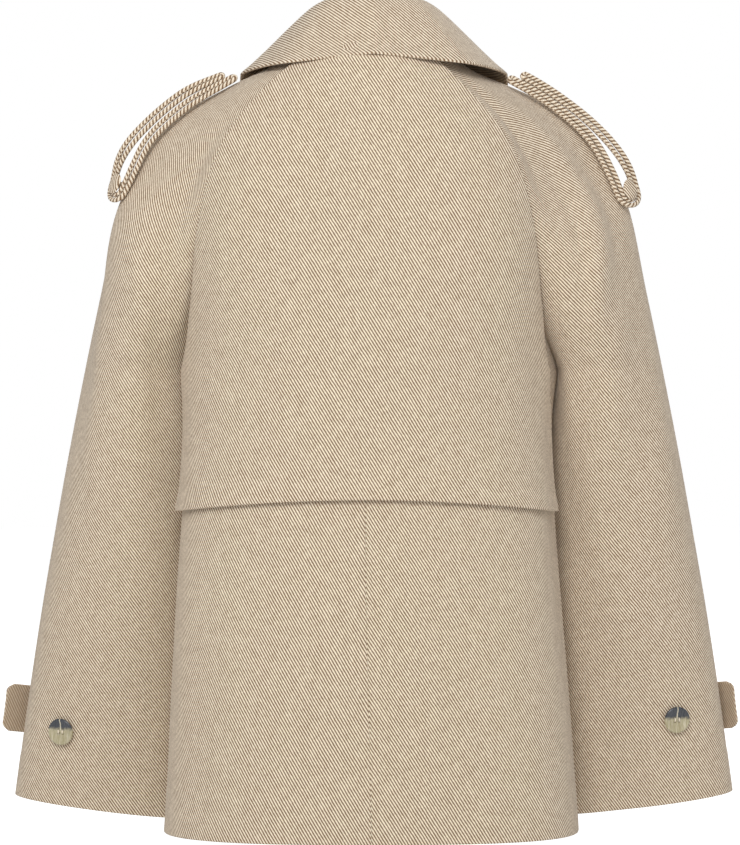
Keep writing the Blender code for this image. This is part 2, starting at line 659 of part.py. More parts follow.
def cord_point(cloth, run, side, w, s):
    """A point of the cord's middle line at w across its plane and s along the shoulder."""
    tilt = cord_tilt(side, s)
    lean = math.sin(tilt) * (KNOT_SPREAD / 2 + STRAND_RADIUS - w)
    bulge = CORD_BULGE * float(ramp(s, 0.35 * CORD_LENGTH, 0.80 * CORD_LENGTH))
    bulge *= 1 - 0.9 * float(ramp(s, 0.85 * CORD_LENGTH, 1.04 * CORD_LENGTH))
    neck = CORD_NECK_LIFT[side] * float(ramp(-s, -0.75 * CORD_LENGTH, 0))
    level = np.interp(np.interp(CORD_START_LEVEL[side], cloth.levels, run) + s, run, cloth.levels)
    lift = STRAND_RADIUS + LAY_EASE + max(lean, 0) + bulge + neck
    return cloth.at(CORD_INSET[side] + w * math.cos(tilt), level, lift)


def cord_curve(name, side):
    cloth = Cloth(side, "-sleeve_back")
    run = shoulder_run(cloth)
    curve = bpy.data.curves.new(name, "CURVE")
    curve.dimensions = "3D"
    curve.bevel_depth = STRAND_RADIUS
    curve.bevel_resolution = 2
    places = cord_places()
    spline = curve.splines.new("POLY")
    spline.points.add(len(places) - 1)
    spline.use_cyclic_u = True
    for point, (w, s) in zip(spline.points, places):
        point.co = (*cord_point(cloth, run, side, w, s), 1)
    return curve


def turned(group, name, profile, segments, look):
    """A solid turned about its own Z from a profile of radius and height in millimetres."""
    mesh = bpy.data.meshes.new(name)
    work = bmesh.new()
    verts = [work.verts.new((radius * MM, 0, height * MM)) for radius, height in profile]
    for a, b in zip(verts, verts[1:]):
        work.edges.new((a, b))
    work.to_mesh(mesh)
    work.free()
    thing = add_object(group, name, mesh, look)
    screw = thing.modifiers.new("turn", "SCREW")
    screw.steps = screw.render_steps = segments
    screw.use_merge_vertices = True
    screw.merge_threshold = MERGE
    screw.use_smooth_shade = True
    return thing


def place_on(thing, point, out, along):
    """Stands a piece on the cloth with its Z out and its X along a direction."""
    out = Vector(out).normalized()
    side = Vector(along) - out * Vector(along).dot(out)
    side.normalize()
    turn = Matrix((side, out.cross(side), out)).transposed().to_4x4()
    thing.matrix_world = Matrix.Translation(Vector(point)) @ turn


def strap_mesh(name, side):
    """The cuff strap lies round the front of the sleeve and its free end stands off."""
    cloth = Cloth(side, "-sleeve_front")
    along = np.linspace(4 * SEAM_GAP, cloth.length(STRAP_LEVEL) - STRAP_LEAVES, 12)
    levels = STRAP_LEVEL + np.linspace(-0.5, 0.5, 4) * STRAP_LEVELS
    places = [[(w, level) for level in levels] for w in along]
    layers = [list(lay(cloth, places, lift)) for lift in (LAY_EASE + WALL, LAY_EASE)]
    ahead = (layers[0][-1] - layers[0][-2]).mean(axis=0)
    ahead /= np.linalg.norm(ahead)
    for layer in layers:
        base = layer[-1]
        centre = base.mean(axis=0)
        for step, width in STRAP_TIP:
            bend = np.array([0, STRAP_BACK[side] * step**2, 0])
            reach = ahead * STRAP_FREE_END[side] * step + bend
            layer.append(centre + (base - centre) * width + reach)
    return wall(name, *(np.array(layer) for layer in layers))


def add_knot(group, name, side):
    """The wrapped knot that the shoulder cord loops round, square to the loop."""
    cloth = Cloth(side, "-sleeve_back")
    run = shoulder_run(cloth)

    def in_loop(w, s):
        return cord_point(cloth, run, side, w, s)

    here, step = CORD_LENGTH - KNOT_INSIDE, KNOT_INSIDE
    middle, down = in_loop(0, here), in_loop(0, here + step) - in_loop(0, here - step)
    across = in_loop(step, here) - in_loop(-step, here)
    out = np.cross(across, down)
    out *= math.copysign(1, out @ cloth.normal(CORD_INSET[side], 4)) / np.linalg.norm(out)
    knot = turned(group, name, KNOT_PROFILE, 14, ROULEAU)
    place_on(knot, middle, out, down)
    knot.matrix_world = knot.matrix_world @ Matrix.Diagonal((KNOT_STRETCH, 1, 1, 1))


def add_button(group, name, panel, side, u, t):
    """A button on the flat of a panel's mesh at u and t."""
    outer, normal = panel_grid(panel, side)
    i, j = np.array(t * STEPS), np.array(u * PANELS[panel]["columns"])
    out = between(normal, i, j)
    out /= np.linalg.norm(out)
    button = turned(group, name, BUTTON_PROFILE, 24, HORN)
    place_on(button, between(outer, i, j) + out * BUTTON_EASE, out, (0, 0, 1))


def add_half(group, word, side):
    """The panels, lapel, cord, knot and strap of one side."""
    for panel in PANELS:
        name = f"{panel}_{word}"
        look = TWILL_UNDER if panel == "back" else TWILL
        add_object(group, name, panel_mesh(name, panel, side), look)
    lapel, cord, strap = f"lapel_{word}", f"shoulder_cord_{word}", f"cuff_strap_{word}"
    add_object(group, lapel, lapel_mesh(lapel, side, 5), TWILL)
    add_object(group, cord, cord_curve(cord, side), ROULEAU)
    add_object(group, strap, strap_mesh(strap, side), TWILL)
    add_knot(group, f"shoulder_knot_{word}", side)
    add_button(group, f"cuff_button_{word}", "sleeve_back", side, *CUFF_BUTTONS[side])


def main():
    for thing in list(bpy.data.objects):
        bpy.data.objects.remove(thing)
    collection = bpy.data.collections.new("twill_jacket")
    bpy.context.scene.collection.children.link(collection)
    root = bpy.data.objects.new("neck_point", None)
    collection.objects.link(root)
    group = collection, root
    add_half(group, "left", 1)
    add_half(group, "right", -1)
    add_object(group, "storm_flap", flap_mesh("storm_flap"), TWILL)
    for name, mesh in zip(("collar", "collar_stand"), collar_meshes()):
        add_object(group, name, mesh, TWILL)
    right_front = Panel("front", -1)
    across = np.linspace(0.4, 1, 200)
    for index, level in enumerate(FRONT_BUTTON_LEVELS, 1):
        x = right_front(across, np.full(across.shape, level))[:, 0]
        u = np.interp(0, x, across)
        add_button(group, f"front_button_{index}", "front", -1, u, level)


main()
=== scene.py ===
"""Looks of a hollow twill jacket, seen from behind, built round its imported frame.

The jacket is filled out as if worn: raglan sleeves, a storm flap over the upper back, a
turned-down collar, rouleau cords on the shoulders and buttoned cuff straps. Metres, +Z up. The
fronts face -Y, the back faces +Y and the wearer's left is +X.
"""

from __future__ import annotations

import logging
import math
from dataclasses import dataclass, field
from enum import Enum
from typing import Callable, Iterable, Sequence, TypeVar

import bmesh
import bpy
import numpy as np
from mathutils import Matrix, Vector

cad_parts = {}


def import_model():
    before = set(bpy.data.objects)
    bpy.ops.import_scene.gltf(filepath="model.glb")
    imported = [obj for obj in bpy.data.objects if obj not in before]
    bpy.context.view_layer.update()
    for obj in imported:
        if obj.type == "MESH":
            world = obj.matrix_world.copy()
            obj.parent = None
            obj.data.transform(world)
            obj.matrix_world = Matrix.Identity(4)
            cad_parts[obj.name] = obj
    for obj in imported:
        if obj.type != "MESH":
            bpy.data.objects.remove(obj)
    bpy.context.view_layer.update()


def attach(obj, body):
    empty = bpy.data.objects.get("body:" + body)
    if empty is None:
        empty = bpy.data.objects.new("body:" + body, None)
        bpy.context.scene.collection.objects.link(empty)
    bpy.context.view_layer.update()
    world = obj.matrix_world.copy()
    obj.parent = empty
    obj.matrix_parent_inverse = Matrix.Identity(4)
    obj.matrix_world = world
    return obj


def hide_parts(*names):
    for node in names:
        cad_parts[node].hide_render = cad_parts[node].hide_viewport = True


LOG = logging.getLogger("twill_jacket")
MM = 0.001
FLATTEN_ROUNDS = 260  # rounds of conjugate gradients after the coarse grid is solved
COARSE_GRID = (44, 26)  # most rows and columns of the grid that is solved at once
Grid = np.ndarray
Surface = Callable[[Grid, Grid], Grid]
Colour = tuple[float, float, float]
Socket = bpy.types.NodeSocket
Kind = TypeVar("Kind")


# ---- Curves --------------------------------------------------------------------------------
def smooth(values: Sequence[float], t: Grid) -> Grid:
    """Reads a curve through values at 0, 1, 2 and so on, without overshoot.

    Args:
        values: the values at whole places.
        t: where to read the curve.

    Returns:
        The curve's values at t.
    """
    values = np.asarray(values, float)
    step = np.diff(values)
    slope = np.zeros(len(values))
    slope[0], slope[-1] = step[0], step[-1]
    rising = step[:-1] * step[1:] > 0
    product, total = step[:-1] * step[1:], step[:-1] + step[1:]
    slope[1:-1][rising] = 2 * product[rising] / total[rising]
    i = np.clip(np.floor(t).astype(int), 0, len(step) - 1)
    f = t - i
    start = (1 + 2 * f) * (1 - f) ** 2 * values[i] + f * (1 - f) ** 2 * slope[i]
    return start + f * f * (3 - 2 * f) * values[i + 1] + f * f * (f - 1) * slope[i + 1]


def ramp(value: Grid, low: float, high: float) -> Grid:
    """Goes from 0 below low to 1 above high, with a soft start and end."""
    f = np.clip((value - low) / (high - low), 0, 1)
    return f * f * (3 - 2 * f)


def bezier(a: Grid, b: Grid, c: Grid, d: Grid, f: Grid) -> Grid:
    """Reads the cubic curve of four control points at f, from 0 to 1."""
    f = np.asarray(f)[..., None]
    return (1 - f) ** 3 * a + 3 * f * (1 - f) ** 2 * b + 3 * f * f * (1 - f) * c + f**3 * d


def unit(vectors: Grid) -> Grid:
    """Vectors scaled to length 1."""
    return vectors / np.maximum(np.linalg.norm(vectors, axis=-1, keepdims=True), 1e-12)


def plan_length(a: Grid, b: Grid) -> Grid:
    """Distance from a to b as seen from above."""
    return np.linalg.norm((b - a)[..., :2], axis=-1)


def joined(steps: Grid, axis: int) -> Grid:
    """The sums of the steps along an axis, from nothing."""
    start = np.zeros_like(np.take(steps, [0], axis))
    return np.concatenate([start, np.cumsum(steps, axis=axis)], axis=axis)


def run_along(points: Grid, axis: int = 0) -> Grid:
    """The distance along the lines of points that follow an axis, from nothing."""
    return joined(np.linalg.norm(np.diff(points, axis=axis), axis=-1), axis)


def graded(length: float, pitch: float, ends: Sequence[float]) -> Grid:
    """Places from 0 to 1 along a length, close together at both ends.

    Args:
        length: the length in metres.
        pitch: the usual distance between places.
        ends: distances of the close places from each end.

    Returns:
        Rising places, as shares of the length.
    """
    near = np.array(ends) / length
    count = max(2, round((1 - 2 * near[-1]) * length / pitch))
    middle = np.linspace(near[-1], 1 - near[-1], count + 1)[1:-1]
    return np.concatenate([near, middle, 1 - near[::-1]])


# ---- The cut -------------------------------------------------------------------------------
class Side(Enum):
    """A side of the wearer; its value is the sign of X there."""

    LEFT = 1
    RIGHT = -1

    @property
    def word(self) -> str:
        """The side's name as nodes spell it."""
        return self.name.lower()

    def pick(self, pair: Sequence[Kind]) -> Kind:
        """The left or right one of a pair."""
        return pair[0 if self is Side.LEFT else 1]


class Panel(Enum):
    """A panel that each side of the jacket has."""

    BACK = "back"
    SLEEVE_BACK = "sleeve_back"
    SLEEVE_FRONT = "sleeve_front"
    FRONT = "front"


@dataclass(frozen=True)
class Table:
    """A seam or other line of the cut, with named columns and a row for each level."""

    names: str
    rows: tuple[tuple[float, ...], ...]

    def column(self, name: str) -> Grid:
        """The values of one column."""
        return np.array([row[self.names.split().index(name)] for row in self.rows], float)

    def at(self, name: str, t: Grid) -> Grid:
        """A column read at the levels t."""
        return smooth(self.column(name), t)


@dataclass(frozen=True)
class Fold:
    """A soft fold in a panel: a trough, or a ridge where its depth is negative.

    Across and level say where it starts and ends; width and depth are in millimetres.
    """

    side: Side
    panel: Panel
    across: tuple[float, float]
    level: tuple[float, float]
    width: float
    depth: float
    bend: float = 0.0


LEFT, RIGHT = Side.LEFT, Side.RIGHT
SLEEVES = (Panel.SLEEVE_BACK, Panel.SLEEVE_FRONT)
UNDERARM = 7  # level of the underarm; 0 is the neck seam
LAST = 12  # level of the hem and of the cuff edge

# The largest folds, as in the solids
MAIN_FOLDS = (
    Fold(LEFT, Panel.SLEEVE_BACK, (0.16, 0.24), (3.2, 9.5), 15, 5),
    Fold(LEFT, Panel.SLEEVE_FRONT, (0.62, 0.70), (5.0, 10.5), 17, 5),
    Fold(RIGHT, Panel.SLEEVE_BACK, (0.20, 0.30), (2.2, 8.5), 14, 6),
    Fold(RIGHT, Panel.SLEEVE_BACK, (0.60, 0.55), (3.4, 6.6), 16, 4),
    Fold(RIGHT, Panel.SLEEVE_BACK, (0.62, 0.44), (7.4, 9.4), 18, 3),
    Fold(RIGHT, Panel.SLEEVE_BACK, (0.45, 0.36), (9.8, 12.6), 20, 3),
    Fold(RIGHT, Panel.SLEEVE_FRONT, (0.58, 0.66), (4.6, 10.0), 17, 5),
    Fold(LEFT, Panel.FRONT, (0.30, 0.36), (8.2, 12.8), 22, 4),
    Fold(RIGHT, Panel.FRONT, (0.34, 0.30), (8.6, 12.8), 24, 4),
)
# Smaller creases that only the looks have
CREASES = (
    Fold(RIGHT, Panel.SLEEVE_BACK, (0.11, 0.15), (1.4, 5.6), 8, 4.4, 0.02),
    Fold(RIGHT, Panel.SLEEVE_BACK, (0.36, 0.40), (2.4, 5.2), 12, -1.8),
    Fold(RIGHT, Panel.SLEEVE_BACK, (0.46, 0.36), (5.6, 8.0), 12, 1.7, 0.03),
    Fold(RIGHT, Panel.SLEEVE_BACK, (0.24, 0.34), (8.2, 11.0), 14, 2.0, -0.02),
    Fold(LEFT, Panel.SLEEVE_BACK, (0.09, 0.14), (2.6, 6.6), 9, 3.4, 0.02),
    Fold(LEFT, Panel.SLEEVE_BACK, (0.42, 0.34), (5.4, 7.6), 14, 1.3, 0.02),
    Fold(LEFT, Panel.SLEEVE_BACK, (0.30, 0.38), (9.4, 11.8), 18, 1.2),
    Fold(LEFT, Panel.SLEEVE_FRONT, (0.40, 0.52), (6.0, 8.4), 13, 2.0, 0.03),
    Fold(LEFT, Panel.SLEEVE_FRONT, (0.74, 0.62), (7.6, 10.8), 12, 2.2, -0.03),
    Fold(RIGHT, Panel.SLEEVE_FRONT, (0.36, 0.50), (5.4, 8.2), 14, 2.2, 0.03),
    Fold(RIGHT, Panel.SLEEVE_FRONT, (0.70, 0.58), (8.0, 11.4), 15, 1.8, -0.02),
    Fold(LEFT, Panel.FRONT, (0.12, 0.26), (4.4, 7.4), 14, 2.2, 0.02),
    Fold(RIGHT, Panel.FRONT, (0.14, 0.24), (4.8, 8.0), 13, 2.4, -0.02),
    Fold(RIGHT, Panel.FRONT, (0.62, 0.56), (8.4, 11.0), 16, -1.4),
    Fold(LEFT, Panel.BACK, (0.58, 0.66), (9.2, 12.6), 26, 1.6, 0.02),
    Fold(RIGHT, Panel.BACK, (0.30, 0.24), (9.4, 12.4), 24, 1.4, -0.02),
    Fold(RIGHT, Panel.BACK, (0.74, 0.66), (5.4, 8.4), 18, 1.2),
)


@dataclass(frozen=True)
class JacketCut:
    """The seams of the jacket in millimetres, and how a row of cloth runs between them.

    Headings are in plan, in degrees: 0 runs to the side, 90 forward, -90 backward and 180 to
    the other side.
    """

    centre_back: Table = Table(
        "x y z",
        (
            (0, 60, 28), (0, 80, 8), (0, 90, -28), (0, 95, -60), (0, 99, -98), (0, 102, -143),
            (0, 104, -203), (0, 105, -256), (0, 105, -306), (0, 106, -363), (0, 109, -456),
            (0, 113, -548), (0, 118, -642),
        ),
    )
    raglan_back: Table = Table(
        "x y z body_turn sleeve_turn",
        (
            (31.5, 52.6, 24.2, 24, 24), (51.8, 65.8, 3.4, 27, 27), (84.6, 71.8, -27.8, 32, 32),
            (111.3, 72.2, -60, 38, 36), (128, 68, -97, 48, 34), (138, 58, -142, 62, 0),
            (146, 34, -202, 75, -50), (156, -8, -256, 92, -78),
        ),
    )
    side_seam: Table = Table(
        "x y z back_turn front_turn",
        (
            (156, -8, -256, 92, 98), (152, -2, -306, 98, 102), (155.5, 4, -375, 97, 101),
            (162, 8, -458, 94, 97), (169, 10, -549, 93, 94), (175, 12, -644, 93, 93),
        ),
    )
    overarm: Table = Table(
        "x y z",
        (
            (60, 4, 14), (85, 3, -2), (118, 0, -15), (157, -4, -34), (194, -8, -67),
            (217, -13, -116), (233, -24, -185), (248, -34, -252), (263, -44, -324),
            (277, -54, -396), (290, -62, -468), (302, -70, -542), (314, -76, -625),
        ),
    )
    underseam: Table = Table(
        "x y z turn",
        (
            (156, -8, -256, -78), (146, -34, -336, -74), (149, -50, -414, -79),
            (153, -62, -492, -84), (157, -71, -570, -88), (160, -78, -645, -90),
        ),
    )
    raglan_front: Table = Table(
        "x y z body_turn sleeve_turn",
        (
            (57, -36, 2, 150, 150), (74, -48, -14, 150, 150), (88, -60, -38, 152, 152),
            (101, -72, -68, 154, 155), (115, -80, -104, 148, 162), (131, -76, -150, 125, 190),
            (147, -50, -208, 108, 225), (156, -8, -256, 98, 282),
        ),
    )
    front_edge: Table = Table(
        "x y z",
        (
            (50, -54, -12), (42, -66, -38), (31, -79, -70), (19, -90, -104), (6, -100, -140),
            (-8, -109, -180), (-22, -115, -218), (-22, -117, -256), (-22, -118, -306),
            (-22, -117, -373), (-22, -119, -458), (-22, -123, -549), (-22, -127, -640),
        ),
    )
    fullness: Table = Table(
        "back_centre back_side sleeve_back sleeve_front over front_side front_centre",
        (
            (0.45, 0.35, 0.36, 0.36, 0.30, 0.36, 0.36), (0.45, 0.35, 0.40, 0.38, 0.24, 0.36, 0.36),
            (0.45, 0.35, 0.42, 0.40, 0.23, 0.36, 0.36), (0.45, 0.35, 0.46, 0.44, 0.23, 0.36, 0.36),
            (0.45, 0.33, 0.52, 0.50, 0.23, 0.36, 0.36), (0.45, 0.33, 0.60, 0.58, 0.26, 0.36, 0.36),
            (0.46, 0.33, 0.70, 0.70, 0.38, 0.36, 0.38), (0.48, 0.34, 0.88, 0.80, 0.62, 0.40, 0.40),
            (0.50, 0.34, 0.76, 0.72, 0.62, 0.40, 0.44), (0.50, 0.34, 0.64, 0.62, 0.56, 0.40, 0.46),
            (0.50, 0.34, 0.54, 0.54, 0.48, 0.40, 0.46), (0.50, 0.34, 0.44, 0.46, 0.40, 0.40, 0.46),
            (0.50, 0.34, 0.36, 0.38, 0.34, 0.40, 0.46),
        ),
    )
    seam_gap: float = 0.02 * MM
    underarm_ease: float = 0.6 * MM
    ease_levels: tuple[float, float] = (UNDERARM - 0.02, UNDERARM + 0.6)
    under_step: float = 6.5 * MM
    tuck_across: tuple[float, float] = (-46 * MM, -4 * MM)
    tuck_levels: tuple[float, float] = (3.6, 4.4)
    body_turn: float = 7 * MM
    hem_turn: float = 0.35
    turn_starts: tuple[float, float] = (-6 * MM, 26 * MM)
    turn_neck: tuple[float, float] = (-30 * MM, 20 * MM)
    turn_fades: tuple[float, float] = (-640 * MM, -400 * MM)
    right_sleeve_lift: float = 3.4 * MM
    lift_heights: tuple[float, float] = (360 * MM, 560 * MM)

    def line(self, seam: Table, t: Grid, lower: Table | None = None, ease: float = 0) -> Grid:
        """The points of a seam.

        Args:
            seam: the seam, from the neck down.
            t: levels to read.
            lower: the seam that takes over below the underarm.
            ease: how far the seam is moved sideways from the underarm down.

        Returns:
            Points in metres.
        """
        columns = []
        for axis in "xyz":
            if lower is None:
                columns.append(seam.at(axis, t))
                continue
            above = seam.at(axis, np.minimum(t, UNDERARM))
            below = lower.at(axis, np.maximum(t - UNDERARM, 0))
            columns.append(np.where(t <= UNDERARM, above, below))
        xyz = np.stack(columns, -1) * MM
        xyz[..., 0] += ease * ramp(t, *self.ease_levels)
        return xyz

    def seams(self, t: Grid) -> dict[str, Grid]:
        """The points of every seam at the levels t, by name."""
        ease = self.underarm_ease
        return dict(
            centre=self.line(self.centre_back, t),
            back=self.line(self.raglan_back, t, self.side_seam, -ease),
            sleeve_in=self.line(self.raglan_back, t, self.underseam, ease),
            over=self.line(self.overarm, t),
            sleeve_out=self.line(self.raglan_front, t, self.underseam, ease),
            front=self.line(self.raglan_front, t, self.side_seam, -ease),
            edge=self.line(self.front_edge, t),
        )

    @staticmethod
    def ends(panel: Panel) -> tuple[str, str]:
        """The seams at both sides of a panel."""
        return {
            Panel.BACK: ("centre", "back"),
            Panel.SLEEVE_BACK: ("sleeve_in", "over"),
            Panel.SLEEVE_FRONT: ("over", "sleeve_out"),
            Panel.FRONT: ("front", "edge"),
        }[panel]

    @staticmethod
    def full_names(panel: Panel) -> tuple[str, str]:
        """The fullness columns at both sides of a panel."""
        return {
            Panel.BACK: ("back_centre", "back_side"),
            Panel.SLEEVE_BACK: ("sleeve_back", "over"),
            Panel.SLEEVE_FRONT: ("over", "sleeve_front"),
            Panel.FRONT: ("front_side", "front_centre"),
        }[panel]

    def headings(self, panel: Panel, t: Grid) -> tuple[Grid, Grid]:
        """The headings with which a row leaves one seam and arrives at the next."""
        level = np.zeros_like(t)
        high, below = np.minimum(t, UNDERARM), np.maximum(t - UNDERARM, 0)
        back_turn, front_turn = (self.side_seam.at(f"{n}_turn", below) for n in ("back", "front"))
        under_turn = self.underseam.at("turn", below)

        def turn(seam: Table, name: str, low: Grid) -> Grid:
            """The heading at a seam, which is low from the underarm down."""
            return np.where(t <= UNDERARM, seam.at(name, high), low)

        return {
            Panel.BACK: (level, turn(self.raglan_back, "body_turn", back_turn)),
            Panel.SLEEVE_BACK: (turn(self.raglan_back, "sleeve_turn", under_turn), level + 90),
            Panel.SLEEVE_FRONT: (
                level + 90, turn(self.raglan_front, "sleeve_turn", under_turn + 360)
            ),
            Panel.FRONT: (turn(self.raglan_front, "body_turn", front_turn), level + 180),
        }[panel]

    def slopes(self, panel: Panel, at: dict[str, Grid], t: Grid) -> tuple[Grid, Grid]:
        """How steeply a row climbs through the seams at both sides of a panel."""

        def through(before: str, here: str, after: str) -> Grid:
            """The climb from the seam before to the seam after, level from the underarm down."""
            run = plan_length(at[before], at[here]) + plan_length(at[here], at[after])
            climb = (at[after] - at[before])[..., 2] / run
            return climb * ramp(-t, -UNDERARM, 1 - UNDERARM)

        level = np.zeros_like(t)
        back, over = through("centre", "back", "over"), through("back", "over", "front")
        front = through("over", "front", "edge")
        return {
            Panel.BACK: (level, back),
            Panel.SLEEVE_BACK: (back, over),
            Panel.SLEEVE_FRONT: (over, front),
            Panel.FRONT: (front, level),
        }[panel]

    def row(self, panel: Panel, u: Grid, t: Grid) -> Grid:
        """Points of the left half's panel at u, 0 to 1 from its back seam, and levels t."""
        at = self.seams(t)
        first, last = (at[name] for name in self.ends(panel))
        span = plan_length(first, last)
        handles = []
        for heading, name, slope in zip(
            self.headings(panel, t), self.full_names(panel), self.slopes(panel, at, t)
        ):
            angle = np.radians(heading)
            way = np.stack([np.cos(angle), -np.sin(angle), slope], -1)
            handles.append(way * (span * self.fullness.at(name, t))[..., None])
        return bezier(first, first + handles[0], last - handles[1], last, u)

    def settled(self, xyz: Grid, side: Side) -> Grid:
        """Mirrors the left half to its side and turns the back as the jacket has settled."""
        xyz = xyz * np.array([side.value, 1, 1])
        x, y, z = xyz[..., 0], xyz[..., 1], xyz[..., 2]
        low = self.hem_turn + (1 - self.hem_turn) * ramp(z, *self.turn_fades)
        shift = self.body_turn * ramp(y, *self.turn_starts) * ramp(-z, *self.turn_neck) * low
        return np.stack([x + shift, y, z], -1)

    def side_gaps(self, panel: Panel, t: Grid) -> tuple[Grid, Grid]:
        """Half a seam gap at both sides of a panel, as shares of its row."""
        at = self.seams(t)
        first, last = self.ends(panel)
        span = plan_length(at[first], at[last])
        near, far = (
            self.seam_gap / 2 / (3 * span * self.fullness.at(name, t))
            for name in self.full_names(panel)
        )
        return near, far


CUT = JacketCut()
FOLDS_FADE = 0.08  # share of a row beside each seam over which the folds run out
# Usual lengths of the rows, in millimetres
USUAL_SPAN = {
    Panel.BACK: 190, Panel.SLEEVE_BACK: 150, Panel.SLEEVE_FRONT: 150, Panel.FRONT: 190,
}


@dataclass(frozen=True)
class PanelSurface:
    """One panel of one side as a surface of u across and t down, with its folds."""

    panel: Panel
    side: Side
    creases: bool = True

    def plain(self, u: Grid, t: Grid) -> Grid:
        """The panel's points without its folds."""
        xyz = CUT.row(self.panel, u, t)
        if self.panel is Panel.FRONT and self.side is LEFT:
            tucked = ramp(-xyz[..., 0], *CUT.tuck_across) * ramp(t, *CUT.tuck_levels)
            xyz[..., 1] += CUT.under_step * tucked
        if self.panel in SLEEVES and self.side is RIGHT:
            xyz[..., 2] += CUT.right_sleeve_lift * ramp(-xyz[..., 2], *CUT.lift_heights)
        return CUT.settled(xyz, self.side)

    def depth(self, u: Grid, t: Grid) -> Grid:
        """How far the folds sink into the panel."""
        depth = np.zeros_like(t)
        for fold in MAIN_FOLDS + (CREASES if self.creases else ()):
            if fold.side is not self.side or fold.panel is not self.panel:
                continue
            first, last = fold.level
            share = np.clip((t - first) / (last - first), 0, 1)
            middle = fold.across[0] + share * (fold.across[1] - fold.across[0])
            middle = middle + fold.bend * np.sin(2 * np.pi * share)
            away = (u - middle) * USUAL_SPAN[self.panel] / fold.width
            depth += fold.depth * MM * np.sin(np.pi * share) * np.exp(-(away**2))
        return depth * ramp(u, 0, FOLDS_FADE) * ramp(1 - u, 0, FOLDS_FADE)

    def __call__(self, u: Grid, t: Grid) -> Grid:
        """The panel's points on its outer side."""
        out = surface_normals(self.plain, self.side, u, t)
        return self.plain(u, t) - out * self.depth(u, t)[..., None]

    def out(self, u: Grid, t: Grid) -> Grid:
        """Unit normals on the outer side."""
        return surface_normals(self, self.side, u, t)


def surface_normals(surface: Surface, side: Side, u: Grid, t: Grid) -> Grid:
    """Unit normals of a surface of u and t.

    Args:
        surface: gives points from u and t.
        side: the side of the wearer, which says which way is out.
        u: places across.
        t: levels.

    Returns:
        A normal for each place.
    """
    tiny = 1e-4
    along_u = surface(np.minimum(u + tiny, 1), t) - surface(np.maximum(u - tiny, 0), t)
    along_t = surface(u, np.minimum(t + tiny, LAST)) - surface(u, np.maximum(t - tiny, 0))
    return unit(np.cross(along_u, along_t)) * side.value


# ---- Cloth shells --------------------------------------------------------------------------
@dataclass(frozen=True)
class Edge:
    """How cloth ends at one edge, in metres."""

    round: float = 1.0 * MM
    sink: float = 0.0
    sink_over: float = 2.2 * MM
    ridge: float = 0.0
    ridge_at: float = 0.0
    ridge_fades: float = 3 * MM
    flare: float = 0.0
    flare_over: float = 30 * MM

    def rounding(self, d: Grid) -> Grid:
        """How far the turned edge drops towards the middle of the cloth at distance d."""
        near = np.clip(1 - d / self.round, 0, 1)
        return self.round * (1 - np.sqrt(np.maximum(1 - near**2, 0)))

    def relief(self, d: Grid) -> Grid:
        """How far the cloth stands out at distance d from the edge."""
        lift = -self.sink * np.exp(-((d / self.sink_over) ** 2))
        lift = lift + self.flare * ramp(-d, -self.flare_over, 0)
        if self.ridge:
            fade = ramp(d, self.ridge_at, self.ridge_at + self.ridge_fades)
            lift = lift + self.ridge * (1 - fade)
        return lift


SEAM = Edge(round=0.35 * MM, sink=0.55 * MM)
NECK = Edge(round=0.7 * MM)
TURNED = Edge(round=1.1 * MM)
HEM = Edge(round=1.1 * MM, ridge=0.35 * MM, ridge_at=36 * MM)


